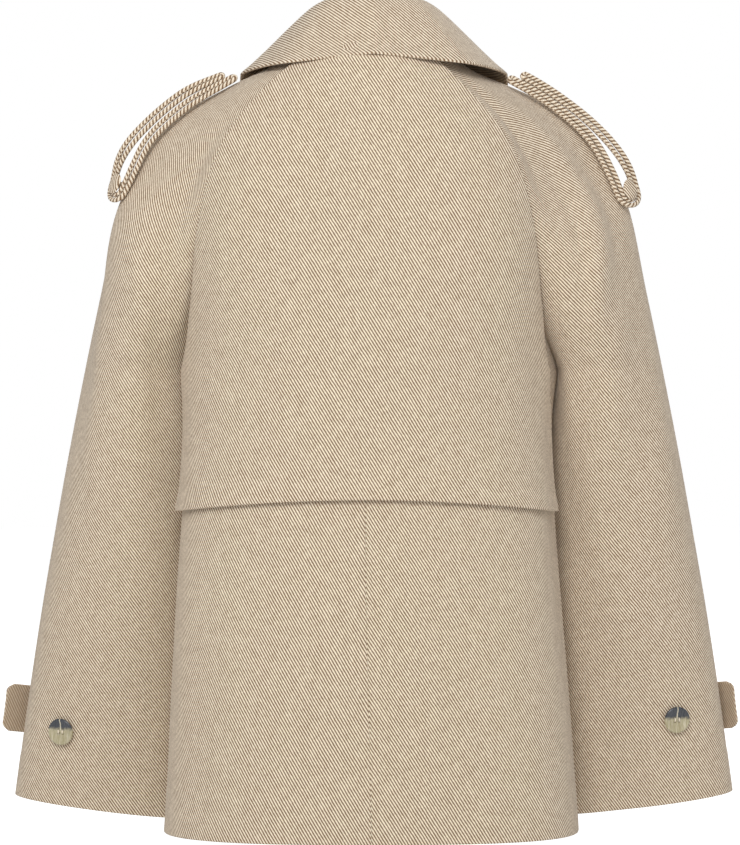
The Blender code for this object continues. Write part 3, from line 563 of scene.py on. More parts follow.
@dataclass
class Sheet:
    """A piece of cloth as a grid of outer points, with its normals and its edges."""

    points: Grid
    out: Grid
    top: Edge = SEAM
    bottom: Edge = SEAM
    near: Edge = SEAM
    far: Edge = SEAM
    thickness: float = 2.2 * MM
    down: Sequence[float] | Grid = (0.0, 0.0, -1.0)
    from_column: int = 0
    seam_share: Grid | float = 1.0  # how much of their sink and rounding the seams have
    uv: Grid = field(init=False)

    def __post_init__(self) -> None:
        """Flattens the cloth, so that its weave runs true."""
        self.uv = self.flatten()

    def steps(self, axis: int) -> Grid:
        """Steps from point to point along an axis, as moves across and down the flat cloth."""
        down = np.broadcast_to(np.asarray(self.down, float), self.points.shape)
        down = unit(down - (down * self.out).sum(-1, keepdims=True) * self.out)
        move = np.diff(self.points, axis=axis)
        size = move.shape[axis]
        pairs = []
        for way in (np.cross(self.out, down), down):
            low, high = np.take(way, range(size), axis), np.take(way, range(1, size + 1), axis)
            pairs.append((move * (low + high) / 2).sum(-1))
        return np.stack(pairs, -1)

    def flatten(self) -> Grid:
        """Works out where each point lies on the flat cloth.

        The places are those whose steps come closest to the steps along the cloth, so the weave
        bends as little as the cloth's form allows.

        Returns:
            For each point its place across and down the cloth, in metres.
        """
        along, below = self.steps(1), self.steps(0)
        wide = np.linalg.norm(np.diff(self.points, axis=1), axis=-1)
        high = np.linalg.norm(np.diff(self.points, axis=0), axis=-1)
        uv = np.zeros(self.points.shape[:2] + (2,))
        start = self.from_column
        uv[1:, start] = np.cumsum(below[:, start], axis=0)
        uv[:, start + 1 :] = uv[:, start : start + 1] + np.cumsum(along[:, start:], axis=1)
        if start > 0:
            back = np.cumsum(along[:, start - 1 :: -1], axis=1)[:, ::-1]
            uv[:, :start] = uv[:, start : start + 1] - back
        uv += self.coarse_shift(uv, along, below, wide, high)
        self.relax(uv, along, below, step_weights(wide, high))
        return uv - uv[0, start]

    @staticmethod
    def coarse_shift(uv: Grid, along: Grid, below: Grid, wide: Grid, high: Grid) -> Grid:
        """How far the best places of a coarser grid lie from the given ones, for every point."""
        rows, cols = (
            np.unique(np.linspace(0, size - 1, min(size, most)).round().astype(int))
            for size, most in zip(uv.shape[:2], COARSE_GRID)
        )
        across, down = joined(along, 1)[rows][:, cols], joined(below, 0)[rows][:, cols]
        widths, heights = joined(wide, 1)[rows][:, cols], joined(high, 0)[rows][:, cols]
        weights = step_weights(np.diff(widths, axis=1), np.diff(heights, axis=0))
        best = best_places(np.diff(across, axis=1), np.diff(down, axis=0), weights)
        shift = best - uv[rows][:, cols]
        full = np.zeros((len(rows),) + uv.shape[1:])
        for i, line in enumerate(shift):
            for axis in range(2):
                full[i, :, axis] = np.interp(np.arange(uv.shape[1]), cols, line[:, axis])
        place = np.interp(np.arange(len(uv)), rows, np.arange(len(rows)))
        low = np.minimum(place.astype(int), len(rows) - 2)
        share = (place - low)[:, None, None]
        return full[low] * (1 - share) + full[low + 1] * share

    @staticmethod
    def relax(uv: Grid, along: Grid, below: Grid, weights: tuple[Grid, Grid]) -> None:
        """Improves the places step by step, by conjugate gradients."""

        def gather(across: Grid, down: Grid) -> Grid:
            """What the weighted steps add up to at each point."""
            total = np.zeros(uv.shape)
            across, down = across * weights[0][..., None], down * weights[1][..., None]
            total[:, :-1] -= across
            total[:, 1:] += across
            total[:-1] -= down
            total[1:] += down
            return total

        rest = gather(along, below) - gather(np.diff(uv, axis=1), np.diff(uv, axis=0))
        way, size = rest.copy(), (rest**2).sum((0, 1))
        for _ in range(FLATTEN_ROUNDS):
            pull = gather(np.diff(way, axis=1), np.diff(way, axis=0))
            step = size / np.maximum((way * pull).sum((0, 1)), 1e-30)
            uv += step * way
            rest -= step * pull
            fresh = (rest**2).sum((0, 1))
            way = rest + fresh / np.maximum(size, 1e-30) * way
            size = fresh

    def distances(self) -> tuple[Grid, Grid, Grid, Grid]:
        """The distance of each point from the top, bottom, near and far edges."""
        near, top = run_along(self.points, 1), run_along(self.points, 0)
        return top, top[-1:] - top, near, near[:, -1:] - near

    def area(self) -> float:
        """The area of the cloth."""
        across, down = self.points[:, 1:] - self.points[:, :-1], self.points[1:] - self.points[:-1]
        return float(np.linalg.norm(np.cross(across[:-1], down[:, :-1]), axis=-1).sum())

    def layers(self, lift: Grid | float = 0.0) -> tuple[Grid, Grid]:
        """The outer and inner points of the cloth, lifted off its surface."""
        edges = (self.top, self.bottom, self.near, self.far)
        relief = np.zeros(self.points.shape[:2]) + lift
        drop = np.zeros(self.points.shape[:2])
        for edge, d in zip(edges, self.distances()):
            share = self.seam_share if edge is SEAM else 1.0
            relief = relief + edge.relief(d) * share
            drop = np.maximum(drop, edge.rounding(d) * share)
        outer = self.points + self.out * (relief - drop)[..., None]
        inner = self.points + self.out * (relief - self.thickness + drop)[..., None]
        return outer, inner


def step_weights(wide: Grid, high: Grid) -> tuple[Grid, Grid]:
    """For the steps across and down, the cloth beside each over its own length."""
    tall = np.pad(high, ((1, 1), (0, 0)), mode="edge")
    tall = ((tall[1:] + tall[:-1])[:, 1:] + (tall[1:] + tall[:-1])[:, :-1]) / 4
    broad = np.pad(wide, ((0, 0), (1, 1)), mode="edge")
    broad = ((broad[:, 1:] + broad[:, :-1])[1:] + (broad[:, 1:] + broad[:, :-1])[:-1]) / 4
    return tall / np.maximum(wide, 1e-6), broad / np.maximum(high, 1e-6)


def best_places(across: Grid, down: Grid, weights: tuple[Grid, Grid]) -> Grid:
    """The places of a grid whose steps come closest to the given ones, the first at nothing."""
    shape = (len(across), down.shape[1])
    number = np.arange(shape[0] * shape[1]).reshape(shape)
    matrix = np.zeros((number.size, number.size))
    right = np.zeros((number.size, 2))
    pairs = ((number[:, :-1], number[:, 1:], across), (number[:-1], number[1:], down))
    for (first, second, step), weight in zip(pairs, weights):
        a, b, w = first.ravel(), second.ravel(), weight.ravel()
        np.add.at(matrix, (a, a), w)
        np.add.at(matrix, (b, b), w)
        np.add.at(matrix, (a, b), -w)
        np.add.at(matrix, (b, a), -w)
        pull = w[:, None] * step.reshape(-1, 2)
        np.add.at(right, a, -pull)
        np.add.at(right, b, pull)
    matrix[0], right[0] = 0, 0
    matrix[0, 0] = 1
    return np.linalg.solve(matrix, right).reshape(shape + (2,))


def shell_mesh(name: str, outer: Grid, inner: Grid, uv: Grid) -> bpy.types.Mesh:
    """Builds a closed shell between two grids of points.

    Args:
        name: the mesh's name.
        outer: the points of the face side.
        inner: the points of the reverse side.
        uv: places on the flat cloth, in metres.

    Returns:
        A smooth mesh; faces of the reverse side have material 1.
    """
    rows, cols = outer.shape[:2]
    index = np.arange(rows * cols).reshape(rows, cols)
    quad = np.stack([index[:-1, :-1], index[:-1, 1:], index[1:, 1:], index[1:, :-1]], -1)
    quad = quad.reshape(-1, 4)
    loop = np.concatenate([index[0, :-1], index[:-1, -1], index[-1, :0:-1], index[:0:-1, 0]])
    after = np.roll(loop, -1)
    size = rows * cols
    rim = np.stack([loop, after, after + size, loop + size], -1)
    faces = np.concatenate([quad, quad + size, rim])
    mesh = bpy.data.meshes.new(name)
    points = np.concatenate([outer.reshape(-1, 3), inner.reshape(-1, 3)])
    mesh.from_pydata(points.tolist(), [], faces.tolist())
    mesh.polygons.foreach_set(
        "material_index", np.repeat([0, 1, 0], [len(quad), len(quad), len(rim)]).astype(np.int32)
    )
    layer = mesh.uv_layers.new(name="cloth")
    corner = np.zeros(len(mesh.loops), np.int32)
    mesh.loops.foreach_get("vertex_index", corner)
    flat = np.concatenate([uv.reshape(-1, 2)] * 2)
    layer.data.foreach_set("uv", flat[corner].astype(np.float32).ravel())
    work = bmesh.new()
    work.from_mesh(mesh)
    bmesh.ops.recalc_face_normals(work, faces=work.faces[:])
    work.to_mesh(mesh)
    work.free()
    mesh.shade_smooth()
    return mesh


class LaidCloth:
    """Neighbouring panels of one side as one sheet, read by distance w along a row and level t."""

    ACROSS = 61
    DOWN = 12

    def __init__(self, side: Side, *panels: tuple[Panel, bool]) -> None:
        """Samples the panels.

        Args:
            side: the side of the wearer.
            panels: panels in order along w, and whether each runs backwards.
        """
        self.levels = np.linspace(0, LAST, LAST * self.DOWN + 1)
        parts = []
        for panel, backwards in panels:
            share = np.linspace(0, 1, self.ACROSS)
            share = share[::-1] if backwards else share
            u, t = np.broadcast_arrays(share, self.levels[:, None])
            parts.append(PanelSurface(panel, side)(u.astype(float), t.astype(float)))
        self.sheet = np.concatenate([parts[0]] + [part[:, 1:] for part in parts[1:]], axis=1)
        self.run = run_along(self.sheet, 1)
        across, down = np.gradient(self.sheet, axis=1), np.gradient(self.sheet, axis=0)
        facing = -side.value if panels[0][1] else side.value
        self.out = unit(np.cross(across, down) * facing)

    def read(self, grid: Grid, w: float, t: float) -> Grid:
        """A grid's value at distance w and level t."""
        place = np.clip(t * self.DOWN, 0, len(self.levels) - 1.001)
        i = int(place)
        above, below = (
            np.array([np.interp(w, self.run[k], grid[k, :, axis]) for axis in range(3)])
            for k in (i, i + 1)
        )
        return above * (i + 1 - place) + below * (place - i)

    def at(self, w: float, t: float, lift: float = 0.0) -> Grid:
        """The point at distance w along the row of level t, lifted off the cloth."""
        return self.read(self.sheet, w, t) + self.normal(w, t) * lift

    def normal(self, w: float, t: float) -> Grid:
        """The unit normal there."""
        return unit(self.read(self.out, w, t))

    def length(self, t: float) -> float:
        """The length of the row at level t."""
        return float(np.interp(t, self.levels, self.run[:, -1]))

    def seam_run(self) -> Grid:
        """Distance down the first seam for each level."""
        return run_along(self.sheet[:, 0])

    def lay(self, places: Iterable[Iterable[tuple[float, float]]]) -> tuple[Grid, Grid]:
        """Points and normals for a grid of places on the cloth."""
        lines = [list(line) for line in places]
        points = np.array([[self.at(w, t) for w, t in line] for line in lines])
        normals = np.array([[self.normal(w, t) for w, t in line] for line in lines])
        return points, normals


# ---- Finishes ------------------------------------------------------------------------------
class Graph:
    """Adds nodes to a node tree in few words."""

    def __init__(self, tree: bpy.types.NodeTree) -> None:
        """Takes the tree to add to."""
        self.tree = tree

    def node(self, kind: str, **inputs: object) -> bpy.types.Node:
        """Adds a node and fills its inputs.

        Args:
            kind: the node's type name.
            inputs: values or sockets by input name, with _ for a space.

        Returns:
            The new node.
        """
        made = self.tree.nodes.new(kind)
        for name, value in inputs.items():
            self.feed(made.inputs[name.replace("_", " ")], value)
        return made

    def feed(self, socket: Socket, value: object) -> None:
        """Links a socket to an input, or sets the input's own value."""
        if isinstance(value, Socket):
            self.tree.links.new(value, socket)
        else:
            socket.default_value = value

    def math(self, operation: str, *values: object) -> Socket:
        """The result of a math node."""
        made = self.tree.nodes.new("ShaderNodeMath")
        made.operation = operation
        for socket, value in zip(made.inputs, values):
            self.feed(socket, value)
        return made.outputs[0]

    def plus(self, a: object, b: object) -> Socket:
        """The sum of two values."""
        return self.math("ADD", a, b)

    def less(self, a: object, b: object) -> Socket:
        """The first value less the second."""
        return self.math("SUBTRACT", a, b)

    def times(self, a: object, b: object) -> Socket:
        """The product of two values."""
        return self.math("MULTIPLY", a, b)

    def mix(self, factor: object, a: object, b: object, blend: str = "MIX") -> Socket:
        """A mix of two colours."""
        made = self.tree.nodes.new("ShaderNodeMix")
        made.data_type = "RGBA"
        made.blend_type = blend
        for socket, value in zip((made.inputs[0], made.inputs[6], made.inputs[7]), (factor, a, b)):
            self.feed(socket, value)
        return made.outputs[2]

    def spread(self, value: object, low: float, high: float, a: float, b: float) -> Socket:
        """A value between low and high spread softly from a to b."""
        made = self.node("ShaderNodeMapRange", Value=value)
        made.interpolation_type = "SMOOTHSTEP"
        for name, number in zip(("From Min", "From Max", "To Min", "To Max"), (low, high, a, b)):
            made.inputs[name].default_value = number
        return made.outputs[0]

    def wave(self, turns: object, low: float, high: float) -> Socket:
        """A wave that goes from 0 to 1 while its sine goes from low to high."""
        return self.spread(self.math("SINE", self.times(turns, 2 * math.pi)), low, high, 0.0, 1.0)

    def noise(self, vector: object, scale: float, detail: float, rough: float = 0.5) -> Socket:
        """A noise value about 0.5; scale is its cells in a metre."""
        return self.node(
            "ShaderNodeTexNoise", Vector=vector, Scale=scale, Detail=detail, Roughness=rough
        ).outputs[0]

    def swing(self, vector: object, scale: float, detail: float, rough: float = 0.5) -> Socket:
        """A noise value about 0."""
        return self.less(self.noise(vector, scale, detail, rough), 0.5)

    def plane(self, x: object, y: object) -> Socket:
        """A vector of two values."""
        return self.node("ShaderNodeCombineXYZ", X=x, Y=y).outputs[0]


def new_group(name: str, inputs: dict[str, object], outputs: dict[str, str]) -> bpy.types.NodeTree:
    """Makes an empty node group.

    Args:
        name: the group's name.
        inputs: default values by input name; a tuple of four is a colour, None a vector.
        outputs: socket types by output name.

    Returns:
        The group's tree.
    """
    tree = bpy.data.node_groups.new(name, "ShaderNodeTree")
    for word, value in inputs.items():
        kind = "NodeSocketFloat"
        if value is None:
            kind = "NodeSocketVector"
        elif isinstance(value, tuple):
            kind = "NodeSocketColor"
        socket = tree.interface.new_socket(word, in_out="INPUT", socket_type=kind)
        if value is not None:
            socket.default_value = value
    for word, kind in outputs.items():
        tree.interface.new_socket(word, in_out="OUTPUT", socket_type=kind)
    return tree


FLOAT_SHARE = 0.62  # length of a float, as a share of the pitch
YARN_APART = 3.7  # how far apart the tones of neighbouring yarns are read
YARN_CELLS = 260.0  # changes of tone in a metre of yarn
BUTTON_RADIUS = 11.5 * MM
CLOUD_DEPTH = 6 * MM  # how far the clouds of the horn move the end of its dark side
SMOKE_FADES = (-1.75 * MM, 2.1 * MM)
CRACK_WANDER = 1.2 * MM
CRACK_HALF = (0.25 * MM, 0.6 * MM)  # half its width, to where it fades and to its end
CRACK_STARTS = (0.5 * MM, 2 * MM)


def twill_group() -> bpy.types.NodeTree:
    """The weave: pale diagonal yarns over darker ones, uneven in tone and width."""
    tree = new_group(
        "twill_weave",
        {
            "Cloth": None, "Turn": 1.0, "Pitch": 0.0022, "Pale": (1.0, 1.0, 1.0, 1.0),
            "Dark": (0.3, 0.2, 0.1, 1.0), "Heather": 0.3, "Wander": 0.2,
        },
        {"Color": "NodeSocketColor", "Height": "NodeSocketFloat", "Roughness": "NodeSocketFloat"},
    )
    graph = Graph(tree)
    given = tree.nodes.new("NodeGroupInput").outputs
    result = tree.nodes.new("NodeGroupOutput").inputs
    parts = graph.node("ShaderNodeSeparateXYZ", Vector=given["Cloth"]).outputs
    sine, cosine = graph.math("SINE", given["Turn"]), graph.math("COSINE", given["Turn"])
    beside = graph.less(graph.times(parts[1], cosine), graph.times(parts[0], sine))
    along = graph.plus(graph.times(parts[0], cosine), graph.times(parts[1], sine))
    # Each diagonal is one turn of a wave, and the diagonals wander
    slow, quick = graph.swing(given["Cloth"], 55, 2), graph.swing(given["Cloth"], 420, 1)
    drift = graph.times(graph.plus(graph.times(slow, 2.2), quick), given["Wander"])
    place = graph.plus(graph.math("DIVIDE", beside, given["Pitch"]), drift)
    rib = graph.wave(place, -0.95, 0.75)
    # Each yarn lies in short floats along its diagonal
    floats = graph.math("DIVIDE", along, graph.times(given["Pitch"], FLOAT_SHARE))
    bead = graph.wave(graph.plus(floats, place), -1.0, 0.4)
    # The tone changes from yarn to yarn, in specks and in soft blotches
    number = graph.math("FLOOR", graph.plus(place, 0.25))
    yarn = graph.plane(graph.times(number, YARN_APART), graph.times(along, YARN_CELLS))
    tone = graph.times(graph.swing(yarn, 1.0, 3, 0.65), 1.5)
    speck = graph.times(graph.swing(given["Cloth"], 1500, 2, 0.7), 0.9)
    blotch = graph.times(graph.swing(given["Cloth"], 110, 3, 0.6), 0.7)
    mixed = graph.times(graph.plus(graph.plus(tone, speck), blotch), given["Heather"])
    shown = graph.times(rib, graph.plus(graph.times(bead, 0.22), 0.78))
    share = graph.node("ShaderNodeClamp", Value=graph.plus(shown, mixed)).outputs[0]
    graph.feed(result["Color"], graph.mix(share, given["Dark"], given["Pale"]))
    graph.feed(result["Height"], graph.times(rib, graph.plus(graph.times(bead, 0.4), 0.6)))
    graph.feed(result["Roughness"], graph.spread(share, 0.0, 1.0, 0.96, 0.84))
    return tree


def horn_group() -> bpy.types.NodeTree:
    """Horn: a smoky dark side that runs into olive and cream, with fine streaks."""
    tree = new_group(
        "horn_figure",
        {
            "Place": None, "Smoke": (0.05, 0.06, 0.08, 1.0), "Body": (0.5, 0.45, 0.3, 1.0),
            "Cream": (0.8, 0.75, 0.6, 1.0), "Split": 0.2,
        },
        {"Color": "NodeSocketColor", "Roughness": "NodeSocketFloat", "Height": "NodeSocketFloat"},
    )
    graph = Graph(tree)
    given = tree.nodes.new("NodeGroupInput").outputs
    result = tree.nodes.new("NodeGroupOutput").inputs
    parts = graph.node("ShaderNodeSeparateXYZ", Vector=given["Place"]).outputs
    cloudy = graph.swing(given["Place"], 210, 3, 0.6)
    # The dark side ends in a cloudy line at the split, a share of the radius
    height = graph.plus(parts[0], graph.times(cloudy, CLOUD_DEPTH))
    above = graph.less(height, graph.times(given["Split"], BUTTON_RADIUS))
    smoke = graph.spread(above, *SMOKE_FADES, 0.0, 1.0)
    grain = graph.plane(graph.times(parts[0], 90.0), graph.times(parts[1], 900.0))
    streaks = graph.noise(grain, 1.0, 3, 0.6)
    pale = graph.spread(streaks, 0.45, 0.7, 0.0, 0.75)
    colour = graph.mix(pale, given["Body"], given["Cream"])
    colour = graph.mix(smoke, colour, given["Smoke"])
    # A pale crack runs through the dark side
    beside = graph.math("ABSOLUTE", graph.plus(parts[1], graph.times(cloudy, CRACK_WANDER)))
    crack = graph.times(
        graph.spread(beside, *CRACK_HALF, 0.85, 0.0), graph.spread(parts[0], *CRACK_STARTS, 0.0, 1.0)
    )
    graph.feed(result["Color"], graph.mix(crack, colour, given["Cream"]))
    graph.feed(result["Roughness"], graph.spread(streaks, 0.3, 0.7, 0.24, 0.40))
    graph.feed(result["Height"], streaks)
    return tree


class Groups:
    """The node groups, each built once."""

    def __init__(self) -> None:
        """Builds them."""
        self.twill = twill_group()
        self.horn = horn_group()


def colour4(colour: Colour) -> tuple[float, float, float, float]:
    """A colour with full alpha."""
    return (*colour, 1.0)


def new_material(
    name: str, **inputs: object
) -> tuple[bpy.types.Material, Graph, bpy.types.NodeInputs]:
    """Makes a material with a plain shader.

    Args:
        name: the material's name.
        inputs: values of the shader's inputs, with _ for a space.

    Returns:
        The material, its graph and the shader's inputs by name.
    """
    made = bpy.data.materials.new(name)
    made.use_nodes = True
    sockets = made.node_tree.nodes["Principled BSDF"].inputs
    for word, value in inputs.items():
        sockets[word.replace("_", " ")].default_value = value
    return made, Graph(made.node_tree), sockets


def figured(
    name: str, group: bpy.types.NodeTree, values: dict[str, object], depth: float, bump: float,
    **inputs: object,
) -> bpy.types.Material:
    """Makes a material whose colour, roughness and relief come from a node group.

    Args:
        name: the material's name.
        group: the node group, whose first input takes the place on the flat cloth.
        values: values of the group's other inputs.
        depth: depth of its relief, in metres.
        bump: strength of its relief.
        inputs: values of the shader's inputs, with _ for a space.

    Returns:
        The material.
    """
    made, graph, shader = new_material(name, **inputs)
    place = made.node_tree.nodes.new("ShaderNodeUVMap")
    place.uv_map = "cloth"
    figure = made.node_tree.nodes.new("ShaderNodeGroup")
    figure.node_tree = group
    graph.feed(figure.inputs[0], place.outputs[0])
    for word, value in values.items():
        figure.inputs[word].default_value = value
    relief = graph.node(
        "ShaderNodeBump", Height=figure.outputs["Height"], Distance=depth, Strength=bump
    )
    graph.feed(shader["Base Color"], figure.outputs["Color"])
    graph.feed(shader["Roughness"], figure.outputs["Roughness"])
    graph.feed(shader["Normal"], relief.outputs[0])
    return made


@dataclass(frozen=True)
class TwillFinish:
    """One lay of the twill: which way its diagonal runs and how its yarns look."""

    name: str
    turn: float
    pitch: float = 2.2 * MM
    pale: Colour = (0.94, 0.825, 0.655)
    dark: Colour = (0.20, 0.11, 0.05)
    heather: float = 0.42
    wander: float = 0.16
    depth: float = 0.28 * MM
    sheen: float = 0.12

    def build(self, groups: Groups) -> bpy.types.Material:
        """Makes the material."""
        values = {
            "Turn": math.radians(self.turn), "Pitch": self.pitch, "Pale": colour4(self.pale),
            "Dark": colour4(self.dark), "Heather": self.heather, "Wander": self.wander,
        }
        made = figured(
            self.name, groups.twill, values, self.depth, 0.8,
            Sheen_Weight=self.sheen, Sheen_Roughness=0.6, Specular_IOR_Level=0.2,
        )
        made.diffuse_color = colour4(self.pale)
        return made


@dataclass(frozen=True)
class HornFinish:
    """Polished horn, dark on one side."""

    name: str
    split: float
    smoke: Colour = (0.045, 0.05, 0.062)
    body: Colour = (0.40, 0.35, 0.21)
    cream: Colour = (0.72, 0.66, 0.50)
    depth: float = 0.05 * MM

    def build(self, groups: Groups) -> bpy.types.Material:
        """Makes the material."""
        values = {
            "Smoke": colour4(self.smoke), "Body": colour4(self.body),
            "Cream": colour4(self.cream), "Split": self.split,
        }
        return figured(
            self.name, groups.horn, values, self.depth, 0.4, Coat_Weight=0.35, Coat_Roughness=0.15
        )


@dataclass(frozen=True)
class PlainFinish:
    """A plain matt finish with a faint mottle, for thread and for the studio.

    Its glow is light that only the camera sees, so that the studio's floor is as pale as its room.
    """

    name: str
    colour: Colour
    rough: float = 0.8
    mottle: float = 0.06
    scale: float = 900.0
    glow: float = 0.0

    def build(self, groups: Groups) -> bpy.types.Material:
        """Makes the material."""
        made, graph, shader = new_material(self.name, Roughness=self.rough)
        where = made.node_tree.nodes.new("ShaderNodeTexCoord").outputs["Object"]
        patches = graph.noise(where, self.scale, 2)
        tone = graph.spread(patches, 0.3, 0.7, 1 - self.mottle, 1 + self.mottle)
        grey = graph.node("ShaderNodeCombineColor", Red=tone, Green=tone, Blue=tone).outputs[0]
        tinted = graph.mix(1.0, colour4(self.colour), grey, "MULTIPLY")
        graph.feed(shader["Base Color"], tinted)
        if self.glow:
            seen = made.node_tree.nodes.new("ShaderNodeLightPath").outputs["Is Camera Ray"]
            shader["Emission Color"].default_value = (1, 1, 1, 1)
            graph.feed(shader["Emission Strength"], graph.times(seen, self.glow))
        return made


class Wardrobe:
    """Every finish of the jacket, each made once and shared."""

    def __init__(self) -> None:
        """Makes the finishes."""
        self.groups = Groups()
        self.finishes = {
            made.name: made.build(self.groups)
            for made in (
                TwillFinish("twill_body", 58.5),
                TwillFinish("twill_sleeve_left", 47.0, 2.1 * MM),
                TwillFinish("twill_sleeve_right", 61.0, 2.1 * MM),
                TwillFinish("twill_collar", 52.0, 2.0 * MM),
                TwillFinish("twill_strap", 52.0, 3.2 * MM, (0.99, 0.89, 0.72), heather=0.3),
                TwillFinish("twill_rouleau", 36.0, 3.1 * MM, heather=0.2),
                TwillFinish("twill_knot", 24.0, 2.0 * MM, heather=0.26),
                TwillFinish(
                    "twill_reverse", 121.0, 2.2 * MM, (0.62, 0.51, 0.38), (0.34, 0.24, 0.155), 0.30
                ),
                HornFinish("horn_left", 0.22),
                HornFinish("horn_right", 0.12),
                HornFinish("horn_front", 0.30),
                PlainFinish("sewing_thread", (0.78, 0.70, 0.56)),
                PlainFinish("studio_white", (0.97, 0.97, 0.97), 0.9, 0.0, 1.0, glow=0.55),
            )
        }

    def __getitem__(self, name: str) -> bpy.types.Material:
        """A finish by name."""
        return self.finishes[name]


# ---- Sub-assemblies ------------------------------------------------------------------------
CLOSE_ENDS = tuple(d * MM for d in (0, 0.35, 0.8, 1.4, 2.4, 3.8, 6.0))
SMALL_ENDS = CLOSE_ENDS[:5]
ROW_PITCH = 3.6 * MM
COLUMN_PITCH = 3.8 * MM


def levels_down(seam: str, first: float, last: float) -> Grid:
    """Levels for the rows of a piece, evenly down a seam and close together at both ends.

    Args:
        seam: the seam by name.
        first: the level at which the rows start.
        last: the level at which they end.

    Returns:
        Rising levels.
    """
    levels = np.linspace(first, last, 200)
    run = run_along(CUT.seams(levels)[seam])
    return np.interp(graded(run[-1], ROW_PITCH, CLOSE_ENDS) * run[-1], run, levels)


def add_object(name: str, data: bpy.types.ID) -> bpy.types.Object:
    """Adds an object to the scene."""
    thing = bpy.data.objects.new(name, data)
    bpy.context.scene.collection.objects.link(thing)
    return thing


class SubAssembly:
    """Something the jacket is made of; it puts pieces on the frame."""

    def __init__(self, wardrobe: Wardrobe) -> None:
        """Keeps the finishes."""
        self.wardrobe = wardrobe

    def place(
        self,
        name: str,
        mesh: bpy.types.Mesh,
        finishes: Sequence[str],
        node: str,
        stands_for: bool = True,
    ) -> bpy.types.Object:
        """Puts a mesh in the scene as a piece of the jacket.

        Args:
            name: the piece's name.
            mesh: its mesh, in the jacket's frame.
            finishes: its materials by name.
            node: the CAD node that it belongs to.
            stands_for: whether it stands for that node.

        Returns:
            The new object.
        """
        thing = add_object(name, mesh)
        for finish in finishes:
            mesh.materials.append(self.wardrobe[finish])
        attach(thing, "root")
        if stands_for:
            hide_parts(node)
        LOG.info("%s: %d faces", name, len(mesh.polygons))
        return thing

    def cloth(
        self,
        name: str,
        sheet: Sheet,
        finish: str,
        node: str,
        lift: float = 0.0,
        rests_on: Sequence[str] = (),
    ) -> bpy.types.Object:
        """Args:
            name: the piece's name.
            sheet: its grid.
            finish: the finish of its face side.
            node: the CAD node it stands for.
            lift: how far it lies off its grid.
            rests_on: what it lies on; not used.

        Returns:
            The new object.
        """
        outer, inner = sheet.layers(lift)
        mesh = shell_mesh(name, outer, inner, sheet.uv)
        thing = self.place(name, mesh, (finish, "twill_reverse"), node)
        width, length = np.ptp(sheet.uv.reshape(-1, 2), axis=0).round(3)
        area = round(min(sheet.area(), width * length), 4)
        LOG.info("%s: %.3f x %.3f m flat, %.4f square metres", name, width, length, area)
        return thing


@dataclass(frozen=True)
class PanelForm:
    """How the edges of one panel are finished, and from which side its cloth is laid flat."""

    near: Edge
    far: Edge
    bottom: Edge
    from_last: bool


PANEL_FORMS = {
    Panel.BACK: PanelForm(SEAM, SEAM, HEM, False),
    Panel.SLEEVE_BACK: PanelForm(SEAM, SEAM, HEM, True),
    Panel.SLEEVE_FRONT: PanelForm(SEAM, SEAM, HEM, False),
    Panel.FRONT: PanelForm(SEAM, TURNED, HEM, True),
}


class Shell(SubAssembly):
    """The panels of the body and the sleeves."""

    # Levels over which the fold at the underarm shuts and opens, where its seams lie flat
    FOLD_SHUTS = (2.0, 4.2)
    FOLD_OPENS = (7.2, 8.2)

    def grid(self, surface: PanelSurface) -> tuple[Grid, Grid]:
        """Places across and levels down for a panel."""
        t = levels_down(CUT.ends(surface.panel)[1], 0, LAST)
        near, far = CUT.side_gaps(surface.panel, t)
        share = graded(USUAL_SPAN[surface.panel] * MM, COLUMN_PITCH, CLOSE_ENDS)
        u = near[:, None] + (1 - near - far)[:, None] * share
        return u, np.broadcast_to(t[:, None], u.shape).copy()

    def finish_of(self, panel: Panel, side: Side) -> str:
        """The finish of a panel."""
        if panel in SLEEVES:
            return f"twill_sleeve_{side.word}"
        return "twill_body"

    def build(self) -> None:
        """Builds all eight panels."""
        for side in Side:
            for panel in Panel:
                self.build_panel(panel, side)

    def build_panel(self, panel: Panel, side: Side) -> None:
        """Builds one panel."""
        surface = PanelSurface(panel, side)
        u, t = self.grid(surface)
        points, out = surface(u, t), surface.out(u, t)
        form = PANEL_FORMS[panel]
        down: Sequence[float] | Grid = (0.0, 0.0, -1.0)
        if panel in SLEEVES:
            levels = t[:, 0]
            over = CUT.settled(CUT.seams(levels)["over"], side)
            down = unit(np.gradient(over, levels, axis=0))[:, None, :]
        shut = ramp(t, *self.FOLD_SHUTS) * (1 - ramp(t, *self.FOLD_OPENS))
        sheet = Sheet(
            points, out, top=NECK, bottom=form.bottom, near=form.near, far=form.far, down=down,
            from_column=points.shape[1] - 1 if form.from_last else 0, seam_share=1 - shut,
        )
        name = f"{panel.value}_{side.word}"
        self.cloth(f"{name}_cloth", sheet, self.finish_of(panel, side), name)


